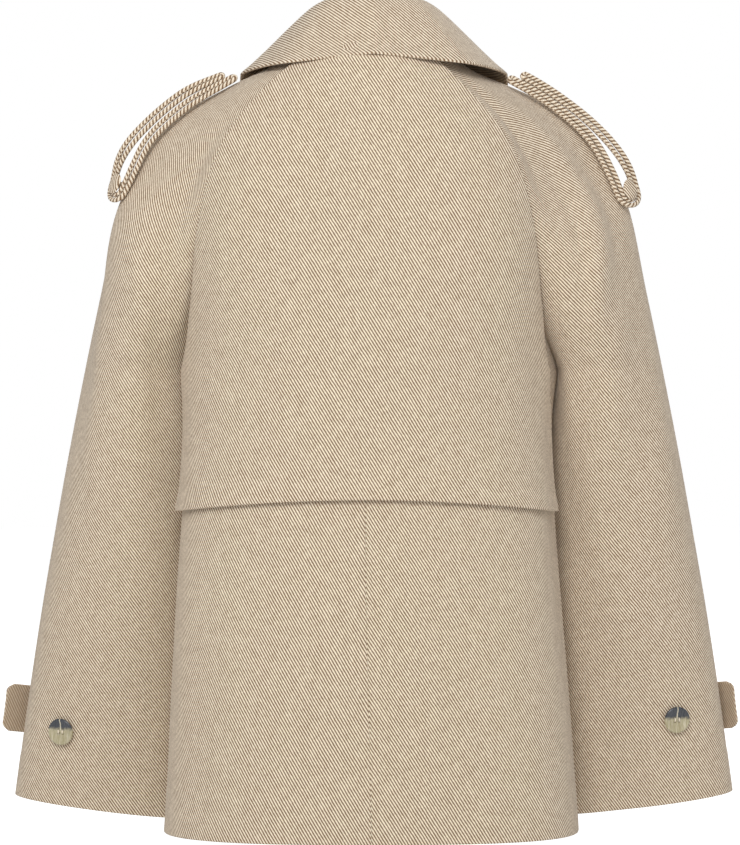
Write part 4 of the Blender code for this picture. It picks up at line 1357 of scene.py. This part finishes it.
@dataclass
class StormFlap(SubAssembly):
    """The flap over the upper back, free at its lower edge and sides."""

    wardrobe: Wardrobe
    top_level: float = 0.2
    hem_level: float = 9.0
    # How far each side ends short of the back's seam at whole levels, as shares of the row
    short_left: tuple[float, ...] = (
        0.003, 0.003, 0.003, 0.004, 0.006, 0.016, 0.055, 0.15, 0.097, 0.092,
    )
    short_right: tuple[float, ...] = (
        0.003, 0.003, 0.003, 0.004, 0.006, 0.012, 0.042, 0.16, 0.10, 0.062,
    )
    ease: float = 0.6 * MM
    side_ease: float = 1.6 * MM
    wall: float = 2.5 * MM
    hem: Edge = Edge(
        round=1.2 * MM, ridge=0.45 * MM, ridge_at=8 * MM, flare=1.7 * MM, flare_over=26 * MM
    )

    def half(self, side: Side) -> tuple[Grid, Grid]:
        """Points and normals of one half, from the centre to the side."""
        surface = PanelSurface(Panel.BACK, side)
        t = levels_down("centre", self.top_level, self.hem_level)
        both = graded(2 * USUAL_SPAN[Panel.BACK] * MM, COLUMN_PITCH, CLOSE_ENDS)
        half = both[len(both) // 2 :] * 2 - 1
        half[0] = 0.0
        reach = 1 - smooth(side.pick((self.short_left, self.short_right)), t)
        u = reach[:, None] * half
        t = np.broadcast_to(t[:, None], u.shape).copy()
        return surface(u, t), surface.out(u, t)

    def build(self) -> None:
        """Builds the flap from its two halves."""
        right, right_out = self.half(RIGHT)
        left, left_out = self.half(LEFT)
        points = np.concatenate([right[:, :0:-1], left], axis=1)
        out = np.concatenate([right_out[:, :0:-1], left_out], axis=1)
        side = Edge(round=1.1 * MM, flare=self.side_ease - self.ease, flare_over=20 * MM)
        sheet = Sheet(
            points, out, Edge(), self.hem, side, side, self.wall, from_column=right.shape[1] - 1
        )
        self.cloth(
            "storm_flap_cloth", sheet, "twill_body", "storm_flap", self.ease + self.wall,
            rests_on=("back_left_cloth", "back_right_cloth"),
        )


@dataclass
class Collar(SubAssembly):
    """The fall and the stand of the collar."""

    wardrobe: Wardrobe
    wall: float = 2.8 * MM
    roll: float = 0.18  # share of the way over the collar that lies before its fold
    rise_handle: float = 4 * MM
    fold_handles: tuple[float, float] = (3 * MM, 7 * MM)
    belly: tuple[float, float] = (0.62, 1 * MM)
    stand_gaps: tuple[float, float] = (0.3 * MM, 0.6 * MM)  # at its top and at its foot
    edge: Edge = Edge(round=1.3 * MM, ridge=0.3 * MM, ridge_at=7 * MM)
    line: Table = Table(
        "base_x base_y base_z fold_x fold_y fold_z edge_x edge_y edge_z",
        (
            (0, 49, 50, 0, 53, 58, 0, 89, 3.5),
            (31, 40, 48, 33, 44, 55.6, 74, 75, -2.5),
            (47, 4, 40, 53, 4, 48, 114, 0, -4),
            (47, -34, 12, 54, -38, 17, 116, -44, -24),
            (44, -48, -5, 50, -56, 1, 101, -82, -62),
        ),
    )

    def read(self, name: str, s: Grid) -> Grid:
        """A line of the collar at the stations s, 0 at the centre back."""
        return np.stack([self.line.at(f"{name}_{axis}", s) for axis in "xyz"], -1) * MM

    def neck_near(self, s: Grid) -> Grid:
        """The neck seam at the collar's stations, from the seams that end there."""
        ends = CUT.seams(np.zeros(1))
        names = ("centre", "back", "over", "front", "edge")
        places = np.concatenate([ends[name] for name in names])
        return np.stack([smooth(places[:, axis], s) for axis in range(3)], -1)

    def fall(self, s: Grid, v: Grid) -> Grid:
        """A point of the fall; v runs from its seam up over the fold and down to the edge."""
        base, fold, edge = (self.read(name, s) for name in ("base", "fold", "edge"))
        out = unit((edge - base) * np.array([1, 1, 0]))
        foot = base + unit(base - self.neck_near(s)) * self.rise_handle
        inside, outside = (out * handle for handle in self.fold_handles)
        rise = bezier(base, foot, fold - inside, fold, v / self.roll)
        down = (v - self.roll) / (1 - self.roll)
        share, tuck = self.belly
        belly = bezier(fold, fold + outside, fold + (edge - fold) * share - out * tuck, edge, down)
        return np.where((v < self.roll)[..., None], rise, belly)

    def neck_line(self, s: Grid) -> Grid:
        """The neck seam of the left half at the collar's stations."""
        found = []
        for station in s:
            index = min(int(station), 3)
            f = np.array(station - index)
            found.append(CUT.row(list(Panel)[index], f, np.zeros_like(f)))
        return np.array(found)

    @staticmethod
    def around(half: Grid) -> Grid:
        """Both halves of a grid, from the right front end to the left."""
        return np.concatenate([(half * np.array([-1, 1, 1]))[:, :0:-1], half], axis=1)

    def build(self) -> None:
        """Builds the fall and the stand."""
        # Stations and rounds lie close together at the edges, and rounds at the fold too
        ends = np.array((0, 0.006, 0.014, 0.026, 0.045, 0.075))
        s = 4 * np.concatenate([np.linspace(0, 1 - ends[-1], 44)[:-1], 1 - ends[::-1]])
        rise = np.concatenate([[0, 0.01, 0.025], np.linspace(0.05, 0.34, 18)])
        v = np.concatenate([rise, np.linspace(0.36, 0.925, 20), 1 - ends[::-1][1:]])
        stations, rounds = np.broadcast_arrays(s, v[:, None])
        stations, rounds = stations.astype(float), rounds.astype(float)
        tiny = 1e-3
        points = self.fall(stations, rounds)
        along = self.fall(np.minimum(stations + tiny, 4), rounds)
        along = along - self.fall(np.maximum(stations - tiny, 0), rounds)
        below = self.fall(stations, np.minimum(rounds + tiny, 1))
        below = below - self.fall(stations, np.maximum(rounds - tiny, 0))
        out = np.cross(along, below)
        out[:, 0, 0] = 0
        out = unit(out)
        sheet = Sheet(
            self.around(points), self.around(out), TURNED, self.edge, self.edge, self.edge,
            self.wall, down=(0.0, 0.45, -1.0), from_column=len(s) - 1,
        )
        self.cloth("collar_cloth", sheet, "twill_collar", "collar")
        self.build_stand()

    def build_stand(self) -> None:
        """Builds the stand, between the neck seam and the fall."""
        count, rows = 61, 9
        s = np.linspace(0, 4, count)
        inward = -unit((self.read("edge", s) - self.read("base", s)) * np.array([1, 1, 0]))
        under, over = (np.array([0, 0, gap]) for gap in self.stand_gaps)
        top = self.read("base", s) - under
        foot = self.neck_line(s) + inward * self.wall + over
        share = np.linspace(0, 1, rows)[:, None, None]
        points = self.around(top * (1 - share) + foot * share)
        out = self.around(np.broadcast_to(inward, (rows, *inward.shape)))
        sheet = Sheet(points, out, thickness=self.wall, from_column=count - 1)
        self.cloth("collar_stand_cloth", sheet, "twill_collar", "collar_stand")


@dataclass
class Lapels(SubAssembly):
    """The lapels, turned back from the fronts."""

    wardrobe: Wardrobe
    ease: float = 1.7 * MM
    wall: float = 2.5 * MM
    pitch: float = 5 * MM
    size: tuple[float, float] = (90 * MM, 190 * MM)
    ends: tuple[float, float] = (4.0, 6.0)  # rows of the form at which the lapels end
    edge: Edge = Edge(round=1.1 * MM, ridge=0.3 * MM, ridge_at=6 * MM)
    form: Table = Table(
        "roll edge width",
        (
            (0.6, 2.5, 90), (1.2, 3.1, 86), (2.1, 3.8, 76), (3.1, 4.4, 58), (4.1, 5.0, 36),
            (4.9, 5.5, 17), (5.7, 5.85, 4),
        ),
    )

    def build(self) -> None:
        """Builds both lapels; the left one ends where the right front crosses it."""
        across, down = (graded(size, self.pitch, SMALL_ENDS) for size in self.size)
        for side in Side:
            cloth = LaidCloth(side, (Panel.FRONT, True), (Panel.SLEEVE_FRONT, True))
            places = []
            for k in side.pick(self.ends) * down:
                at = np.array(k)
                roll, edge, width = (self.form.at(c, at) for c in ("roll", "edge", "width"))
                places.append([(f * width * MM, roll + (edge - roll) * f) for f in across])
            sheet = Sheet(*cloth.lay(places), *[self.edge] * 4, self.wall)
            name = f"lapel_{side.word}"
            self.cloth(
                f"{name}_cloth", sheet, "twill_collar", name, self.ease + self.wall,
                rests_on=(f"front_{side.word}_cloth",),
            )


@dataclass
class CuffStraps(SubAssembly):
    """The cuff straps, each with a free end that stands off the sleeve."""

    wardrobe: Wardrobe
    level: float = 11.12
    levels: float = 0.52  # its width, as levels of the sleeve
    width: float = 38 * MM
    starts: float = 1.2 * MM
    leaves: float = 30 * MM  # how far from the underarm seam it leaves the sleeve
    ease: float = 0.8 * MM
    wall: float = 2.5 * MM
    pitch: float = 4 * MM
    free: tuple[float, float] = (39 * MM, 31 * MM)
    back: tuple[float, float] = (2 * MM, 7 * MM)
    corner_share: float = 0.20
    corner_cut: float = 0.28
    corner_power: float = 2.2
    edge: Edge = Edge(round=1.1 * MM, ridge=0.25 * MM, ridge_at=5 * MM)

    def build(self) -> None:
        """Builds both straps."""
        for side in Side:
            self.build_strap(side, side.pick(self.free), side.pick(self.back))

    def build_strap(self, side: Side, free: float, back: float) -> None:
        """Builds one strap.

        Args:
            side: the side of the wearer.
            free: how long its free end is.
            back: how far that end bends back.
        """
        cloth = LaidCloth(side, (Panel.SLEEVE_FRONT, True))
        length = cloth.length(self.level) - self.leaves
        across = self.level + (graded(self.width, self.pitch, SMALL_ENDS) - 0.5) * self.levels
        runs = np.linspace(self.starts, length, round(length / self.pitch))
        points, out = cloth.lay([[(w, level) for w in runs] for level in across])
        points = points + out * (self.ease + self.wall)
        ahead = unit((points[:, -1] - points[:, -3]).mean(axis=0))
        centre = points[:, -1].mean(axis=0)
        grown, facing = [points], [out]
        for step in graded(free, self.pitch, SMALL_ENDS)[1:]:
            corner = max(0.0, (step - 1 + self.corner_share) / self.corner_share)
            width = 1 - self.corner_cut * corner**self.corner_power
            bend = np.array([0, back * step**2, 0])
            line = centre + (points[:, -1] - centre) * width + ahead * free * step + bend
            grown.append(line[:, None])
            facing.append(out[:, -1:])
        points, out = np.concatenate(grown, axis=1), np.concatenate(facing, axis=1)
        sheet = Sheet(points, out, *[self.edge] * 4, self.wall)
        name = f"cuff_strap_{side.word}"
        self.cloth(
            f"{name}_cloth", sheet, "twill_strap", name,
            rests_on=(f"sleeve_front_{side.word}_cloth",),
        )


@dataclass
class ShoulderCords(SubAssembly):
    """The doubled rouleau loops on the shoulders and the knots that they pass round."""

    wardrobe: Wardrobe
    strand: float = 2.1 * MM
    gap: float = 0.3 * MM
    start: tuple[float, float] = (1.81, 2.01)
    middle_level: float = 3.5
    knot_level: float = 4
    length: float = 138 * MM
    stagger: float = 7 * MM
    # Degrees between the cord's plane and the cloth at its neck end, middle and knot
    tilts: tuple[tuple[float, ...], ...] = ((32, 56, 26), (45, 36, 26))
    # Shares of the cord's length between which its tilt, spread, bulge and lift change
    tilt_settles: float = 0.35
    tilt_drops: float = 0.70
    spreads_from: float = 0.55
    bulge_rises: tuple[float, float] = (0.35, 0.80)
    bulge_sinks: tuple[float, float] = (0.85, 1.04)
    neck_lift_ends: float = 0.75
    bulge_loss: float = 0.9  # share of the bulge that is gone at the knot
    bulge: float = 2 * MM
    neck_lift: tuple[float, float] = (0.0, 1.4 * MM)
    spread_at_neck: float = 9.3 * MM
    spread_at_knot: float = 16 * MM
    inset: tuple[float, float] = (27 * MM, 17.5 * MM)
    knot_inside: float = 3 * MM
    knot_stretch: float = 1.25
    wraps: int = 3
    wrap_slant: float = 520  # radians in a metre
    wrap_depth: float = 0.28 * MM
    wrap_starts: tuple[float, float] = (2.5 * MM, 6 * MM)
    ease: float = 0.8 * MM
    knot_profile: tuple[tuple[float, float], ...] = (
        (0, 5.8), (3.8, 5.5), (6.4, 4.6), (7.2, 3.5), (6.4, 2.7), (3.2, 2.5), (2.5, 1.6),
        (2.5, -7.9), (0, -7.9),
    )

    def between(self, s: float, first: float, last: float) -> float:
        """How far s has come between two shares of the cord's length, with soft ends."""
        return float(ramp(np.array(s), first * self.length, last * self.length))

    def spread(self, s: float) -> float:
        """Distance between the middles of the two runs at s along the cord."""
        wider = self.between(s, self.spreads_from, 1)
        return self.spread_at_neck + (self.spread_at_knot - self.spread_at_neck) * wider

    def tilt(self, side: Side, s: float) -> float:
        """The angle between the cord's plane and the cloth at s along it, in radians."""
        neck, middle, knot = side.pick(self.tilts)
        rise, fall = self.between(s, 0, self.tilt_settles), self.between(s, self.tilt_drops, 1)
        return math.radians(neck + (middle - neck) * rise + (knot - middle) * fall)

    def places(self) -> list[tuple[float, float]]:
        """The doubled loop in the plane of the cord: w across it and s along the shoulder."""
        half = self.strand + self.gap / 2
        share = np.linspace(0, 1, 36)
        found: list[tuple[float, float]] = []
        for sign in (-1, 1):
            first = half + (self.stagger if sign < 0 else 0)
            along = first + share * (self.length - first)
            outer = [(sign * (self.spread(s) / 2 + half), s) for s in along]
            inner = [(sign * (self.spread(s) / 2 - half), s) for s in along]
            middle = sign * self.spread_at_neck / 2
            turn = self.arc(middle, along[0], half, 180, 360, 9)
            back, ahead = (outer, inner) if sign < 0 else (inner, outer)
            found += back[::-1] + turn + ahead
            angles = (180, 0) if sign < 0 else (0, 180)
            found += self.arc(0, self.length, self.spread_at_knot / 2 + sign * half, *angles, 17)
        return found

    @staticmethod
    def arc(w: float, s: float, radius: float, first: float, last: float, count: int) -> list:
        """Places on an arc, without its ends; angles are in degrees from +w."""
        angles = np.radians(np.linspace(first, last, count))[1:-1]
        return [(w + radius * math.cos(a), s + radius * math.sin(a)) for a in angles]

    def build(self) -> None:
        """Builds the cord and the knot of both shoulders."""
        for side in Side:
            cloth = LaidCloth(side, (Panel.SLEEVE_BACK, True))
            self.build_cord(side, cloth)
            self.build_knot(side, cloth)

    def point(self, cloth: LaidCloth, side: Side, w: float, s: float) -> Grid:
        """A point of the cord's middle line at w across its plane and s along the shoulder."""
        tilt = self.tilt(side, s)
        lean = math.sin(tilt) * (self.spread_at_knot / 2 + self.strand - w)
        rise = self.between(s, *self.bulge_rises)
        rise *= 1 - self.bulge_loss * self.between(s, *self.bulge_sinks)
        neck = side.pick(self.neck_lift) * (1 - self.between(s, 0, self.neck_lift_ends))
        run = cloth.seam_run()
        first = np.interp(side.pick(self.start), cloth.levels, run)
        level = float(np.interp(first + s, run, cloth.levels))
        lift = self.strand + self.ease + max(lean, 0) + self.bulge * rise + neck
        return cloth.at(side.pick(self.inset) + w * math.cos(tilt), level, lift)

    def build_cord(self, side: Side, cloth: LaidCloth) -> None:
        """Builds one doubled cord as a closed tube."""
        places = self.places()
        line = np.array([self.point(cloth, side, w, s) for w, s in places])
        ahead = unit(np.roll(line, -1, axis=0) - np.roll(line, 1, axis=0))
        up = np.array([cloth.normal(side.pick(self.inset), self.middle_level)] * len(line))
        beside = unit(np.cross(ahead, up))
        up = np.cross(beside, ahead)
        sides = 16
        angles = np.linspace(0, 2 * math.pi, sides + 1)[:-1, None]
        ring = beside[:, None] * np.cos(angles) + up[:, None] * np.sin(angles)
        points = line[:, None] + ring * self.strand
        run = run_along(np.vstack([line, line[:1]]))
        name = f"shoulder_cord_{side.word}"
        mesh = bpy.data.meshes.new(name)
        count = len(line)
        faces, uvs = [], []
        for i in range(count):
            for j in range(sides):
                k, m = (i + 1) % count, (j + 1) % sides
                faces.append((i * sides + j, k * sides + j, k * sides + m, i * sides + m))
                first, last = run[i], run[i + 1]
                low, high = (self.strand * n * 2 * math.pi / sides for n in (j, j + 1))
                uvs += [low, first, low, last, high, last, high, first]
        mesh.from_pydata(points.reshape(-1, 3).tolist(), [], faces)
        layer = mesh.uv_layers.new(name="cloth")
        layer.data.foreach_set("uv", np.array(uvs, np.float32))
        mesh.shade_smooth()
        self.place(f"{name}_rouleau", mesh, ("twill_rouleau",), name)

    def build_knot(self, side: Side, cloth: LaidCloth) -> None:
        """Builds one wrapped knot, square to its loop."""
        here, step = self.length - self.knot_inside, self.knot_inside
        middle = self.point(cloth, side, 0, here)
        down = self.point(cloth, side, 0, here + step) - self.point(cloth, side, 0, here - step)
        across = self.point(cloth, side, step, here) - self.point(cloth, side, -step, here)
        out = unit(np.cross(across, down))
        if out @ cloth.normal(side.pick(self.inset), self.knot_level) < 0:
            out = -out
        turned = Turned.from_profile(self.knot_profile, 49, 32)
        points = turned.points()
        x, y = points[..., 0], points[..., 1]
        away = np.hypot(x, y)
        turns = self.wraps * np.arctan2(y, x) + away * self.wrap_slant
        wraps = np.sin(turns) * self.wrap_depth * ramp(away, *self.wrap_starts)
        points = points + np.stack([0 * wraps, 0 * wraps, wraps], -1)
        points[..., 0] *= self.knot_stretch
        flat = np.stack([points[..., 0] + 60 * points[..., 1] ** 2, points[..., 1]], -1)
        name = f"shoulder_knot_{side.word}"
        mesh = turned.mesh(name, points, flat)
        stand_on(mesh, middle, out, down)
        self.place(f"{name}_wrap", mesh, ("twill_knot",), name)


@dataclass(frozen=True)
class Turned:
    """A round piece from a profile of radius and height, outer middle first."""

    radius: Grid
    height: Grid
    segments: int

    @classmethod
    def from_profile(cls, profile: Sequence[Sequence[float]], steps: int, segments: int) -> Turned:
        """A round piece from a few points in millimetres, read at more places."""
        points = np.array(profile) * MM
        run = np.linspace(0, len(points) - 1, steps)
        return cls(smooth(points[:, 0], run), smooth(points[:, 1], run), segments)

    def points(self) -> Grid:
        """The points, a row for each place of the profile."""
        angles = np.linspace(0, 2 * math.pi, self.segments + 1)[:-1]
        x = self.radius[:, None] * np.cos(angles)
        y = self.radius[:, None] * np.sin(angles)
        return np.stack([x, y, np.broadcast_to(self.height[:, None], x.shape)], -1)

    def mesh(self, name: str, points: Grid, flat: Grid) -> bpy.types.Mesh:
        """A closed mesh of the points, with flat places as UVs."""
        rows, cols = points.shape[:2]
        work = bmesh.new()
        layer = work.loops.layers.uv.new("cloth")
        rings = [[work.verts.new(points[i, j]) for j in range(cols)] for i in range(1, rows - 1)]
        first, last = (work.verts.new(points[i].mean(axis=0)) for i in (0, -1))
        places: dict[bmesh.types.BMVert, Grid] = {
            first: flat[0].mean(axis=0), last: flat[-1].mean(axis=0)
        }
        for i, ring in enumerate(rings, 1):
            for j, vert in enumerate(ring):
                places[vert] = flat[i, j]
        for j in range(cols):
            m = (j + 1) % cols
            work.faces.new((first, rings[0][j], rings[0][m]))
            work.faces.new((last, rings[-1][m], rings[-1][j]))
            for upper, lower in zip(rings, rings[1:]):
                work.faces.new((upper[j], lower[j], lower[m], upper[m]))
        for face in work.faces:
            for loop in face.loops:
                loop[layer].uv = places[loop.vert]
        bmesh.ops.recalc_face_normals(work, faces=work.faces[:])
        mesh = bpy.data.meshes.new(name)
        work.to_mesh(mesh)
        work.free()
        mesh.shade_smooth()
        return mesh


def stand_on(mesh: bpy.types.Mesh, point: Grid, out: Grid, along: Grid) -> None:
    """Moves a mesh to a point, with its Z out and its X along a direction."""
    up = Vector(out).normalized()
    side = Vector(along) - up * Vector(along).dot(up)
    side.normalize()
    turn = Matrix((side, up.cross(side), up)).transposed().to_4x4()
    mesh.transform(Matrix.Translation(Vector(point)) @ turn)


@dataclass
class Buttons(SubAssembly):
    """The horn buttons of the cuffs and of the front."""

    wardrobe: Wardrobe
    ease: float = 0.3 * MM
    hole_circle: float = 2.6 * MM
    hole_radius: float = 0.95 * MM
    hole_depth: float = 1.5 * MM
    face_heights: tuple[float, float] = (1.4 * MM, 2.2 * MM)
    thread: float = 0.24 * MM
    strand_pitch: float = 0.42 * MM
    arch_foot: float = 2.2 * MM
    arch_height: float = 1.5 * MM
    arch_power: float = 0.45
    profile: tuple[tuple[float, float], ...] = (
        (0, 3.0), (4.5, 2.95), (6.6, 3.2), (8.4, 3.9), (9.4, 4.25), (10.2, 4.3), (11.0, 3.95),
        (11.5, 3.1), (11.3, 2.1), (10.6, 1.2), (8.0, 0.25), (4.0, 0.0), (0, 0),
    )
    cuff_places: tuple[tuple[Side, float, float], ...] = (
        (LEFT, 0.675, 11.21), (RIGHT, 0.635, 11.10),
    )
    front_levels: tuple[float, ...] = (6.55, 8.0, 9.35)

    def disc(self, name: str) -> bpy.types.Mesh:
        """One button with a dished face and four sew holes."""
        turned = Turned.from_profile(self.profile, 61, 64)
        points = turned.points()
        face = ramp(points[..., 2], *self.face_heights)
        for k in range(4):
            angle = math.pi / 4 + k * math.pi / 2
            away = np.hypot(
                points[..., 0] - self.hole_circle * math.cos(angle),
                points[..., 1] - self.hole_circle * math.sin(angle),
            )
            dip = 1 - ramp(away, 0.6 * self.hole_radius, 1.25 * self.hole_radius)
            points[..., 2] -= self.hole_depth * dip * face
        return turned.mesh(name, points, points[..., :2])

    def stitch(self, name: str, point: Grid, out: Grid) -> None:
        """The thread through the four holes, as two bars of three strands."""
        verts: list[Grid] = []
        faces: list[tuple[int, ...]] = []
        reach, ring, steps = self.hole_circle * math.sqrt(0.5), 6, 8
        for bar in (-1, 1):
            for strand in (-1, 0, 1):
                base = len(verts)
                y = bar * reach + strand * self.strand_pitch
                for k in range(steps + 1):
                    x = (2 * k / steps - 1) * reach
                    arch = math.sin(math.pi * k / steps) ** self.arch_power
                    z = self.arch_foot + self.arch_height * arch
                    for j in range(ring):
                        angle = 2 * math.pi * j / ring
                        side, up = self.thread * math.cos(angle), self.thread * math.sin(angle)
                        verts.append(np.array([x, y + side, z + up]))
                for k in range(steps):
                    for j in range(ring):
                        a, b = base + k * ring + j, base + k * ring + (j + 1) % ring
                        faces.append((a, b, b + ring, a + ring))
                faces.append(tuple(range(base, base + ring)))
                faces.append(tuple(range(base + (steps + 1) * ring - 1, base + steps * ring - 1, -1)))
        mesh = bpy.data.meshes.new(name)
        mesh.from_pydata([tuple(v) for v in verts], [], faces)
        mesh.shade_smooth()
        stand_on(mesh, point, out, np.array([0.0, 0.0, 1.0]))
        self.place(f"{name}_thread", mesh, ("sewing_thread",), name, stands_for=False)

    def put(self, name: str, surface: PanelSurface, u: float, t: float, finish: str) -> None:
        """Puts a button on a panel."""
        at_u, at_t = np.array(u), np.array(t)
        out = surface.out(at_u, at_t)
        point = surface(at_u, at_t) + out * self.ease
        mesh = self.disc(name)
        stand_on(mesh, point, out, np.array([0.0, 0.0, 1.0]))
        self.place(f"{name}_horn", mesh, (finish,), name)
        self.stitch(name, point, out)

    def build(self) -> None:
        """Builds all the buttons."""
        for side, u, t in self.cuff_places:
            surface = PanelSurface(Panel.SLEEVE_BACK, side)
            self.put(f"cuff_button_{side.word}", surface, u, t, f"horn_{side.word}")
        front = PanelSurface(Panel.FRONT, RIGHT)
        across = np.linspace(0.4, 1, 200)
        for index, level in enumerate(self.front_levels, 1):
            x = front(across, np.full(across.shape, level))[:, 0]
            u = float(np.interp(0, x, across))
            self.put(f"front_button_{index}", front, u, level, "horn_front")


@dataclass
class Studio:
    """The pale floor, the soft lights and the camera."""

    wardrobe: Wardrobe
    floor_height: float = -0.72
    camera_place: tuple[float, float, float] = (0.0034, 2.45, -0.2996)
    lens: float = 122.8
    room_light: float = 0.48
    floor_size: float = 9.0
    aim: tuple[float, float, float] = (0, 0, -0.3)
    # Each soft light: its place, size and power
    lights: tuple[tuple[str, tuple[float, float, float], float, float], ...] = (
        ("key", (0.3, 2.5, 1.3), 1.1, 48), ("fill", (-1.3, -2.4, 1.3), 2.0, 26),
    )

    def build(self) -> None:
        """Builds the studio."""
        self.build_floor()
        self.build_lights()
        self.build_camera()

    def build_floor(self) -> None:
        """A floor all round, with no edge that the camera sees."""
        mesh = bpy.data.meshes.new("floor")
        work = bmesh.new()
        bmesh.ops.create_grid(work, x_segments=8, y_segments=8, size=self.floor_size)
        work.to_mesh(mesh)
        work.free()
        mesh.materials.append(self.wardrobe["studio_white"])
        floor = add_object("floor", mesh)
        floor.location.z = self.floor_height

    def area(self, name: str, place: Vector, size: float, power: float) -> None:
        """A square soft light that faces the jacket."""
        light = bpy.data.lights.new(name, "AREA")
        light.size = size
        light.energy = power
        lamp = add_object(name, light)
        lamp.location = place
        lamp.rotation_euler = (Vector(self.aim) - place).to_track_quat("-Z", "Y").to_euler()

    def build_lights(self) -> None:
        """A bright even room with a soft key from above the camera."""
        world = bpy.data.worlds.new("studio")
        world.use_nodes = True
        graph = Graph(world.node_tree)
        shade = world.node_tree.nodes["Background"]
        shade.inputs["Color"].default_value = (1, 1, 1, 1)
        seen = world.node_tree.nodes.new("ShaderNodeLightPath").outputs["Is Camera Ray"]
        graph.feed(shade.inputs["Strength"], graph.spread(seen, 0, 1, self.room_light, 1.0))
        bpy.context.scene.world = world
        bpy.context.scene.view_settings.view_transform = "Standard"
        for name, place, size, power in self.lights:
            self.area(name, Vector(place), size, power)

    def build_camera(self) -> None:
        """The camera stands behind the jacket, level with its middle."""
        data = bpy.data.cameras.new("camera")
        data.lens = self.lens
        data.sensor_width = 36
        data.clip_end = 60
        camera = add_object("camera", data)
        camera.location = self.camera_place
        camera.rotation_euler = (math.radians(90), 0, math.radians(180))
        bpy.context.scene.camera = camera


def main() -> None:
    """Dresses the whole jacket."""
    logging.basicConfig(level=logging.INFO, format="%(name)s: %(message)s")
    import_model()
    wardrobe = Wardrobe()
    Studio(wardrobe).build()
    for part in (
        Shell(wardrobe), StormFlap(wardrobe), Collar(wardrobe), Lapels(wardrobe),
        CuffStraps(wardrobe), ShoulderCords(wardrobe), Buttons(wardrobe),
    ):
        LOG.info("building %s", type(part).__name__)
        part.build()


if __name__ == "__main__":
    main()
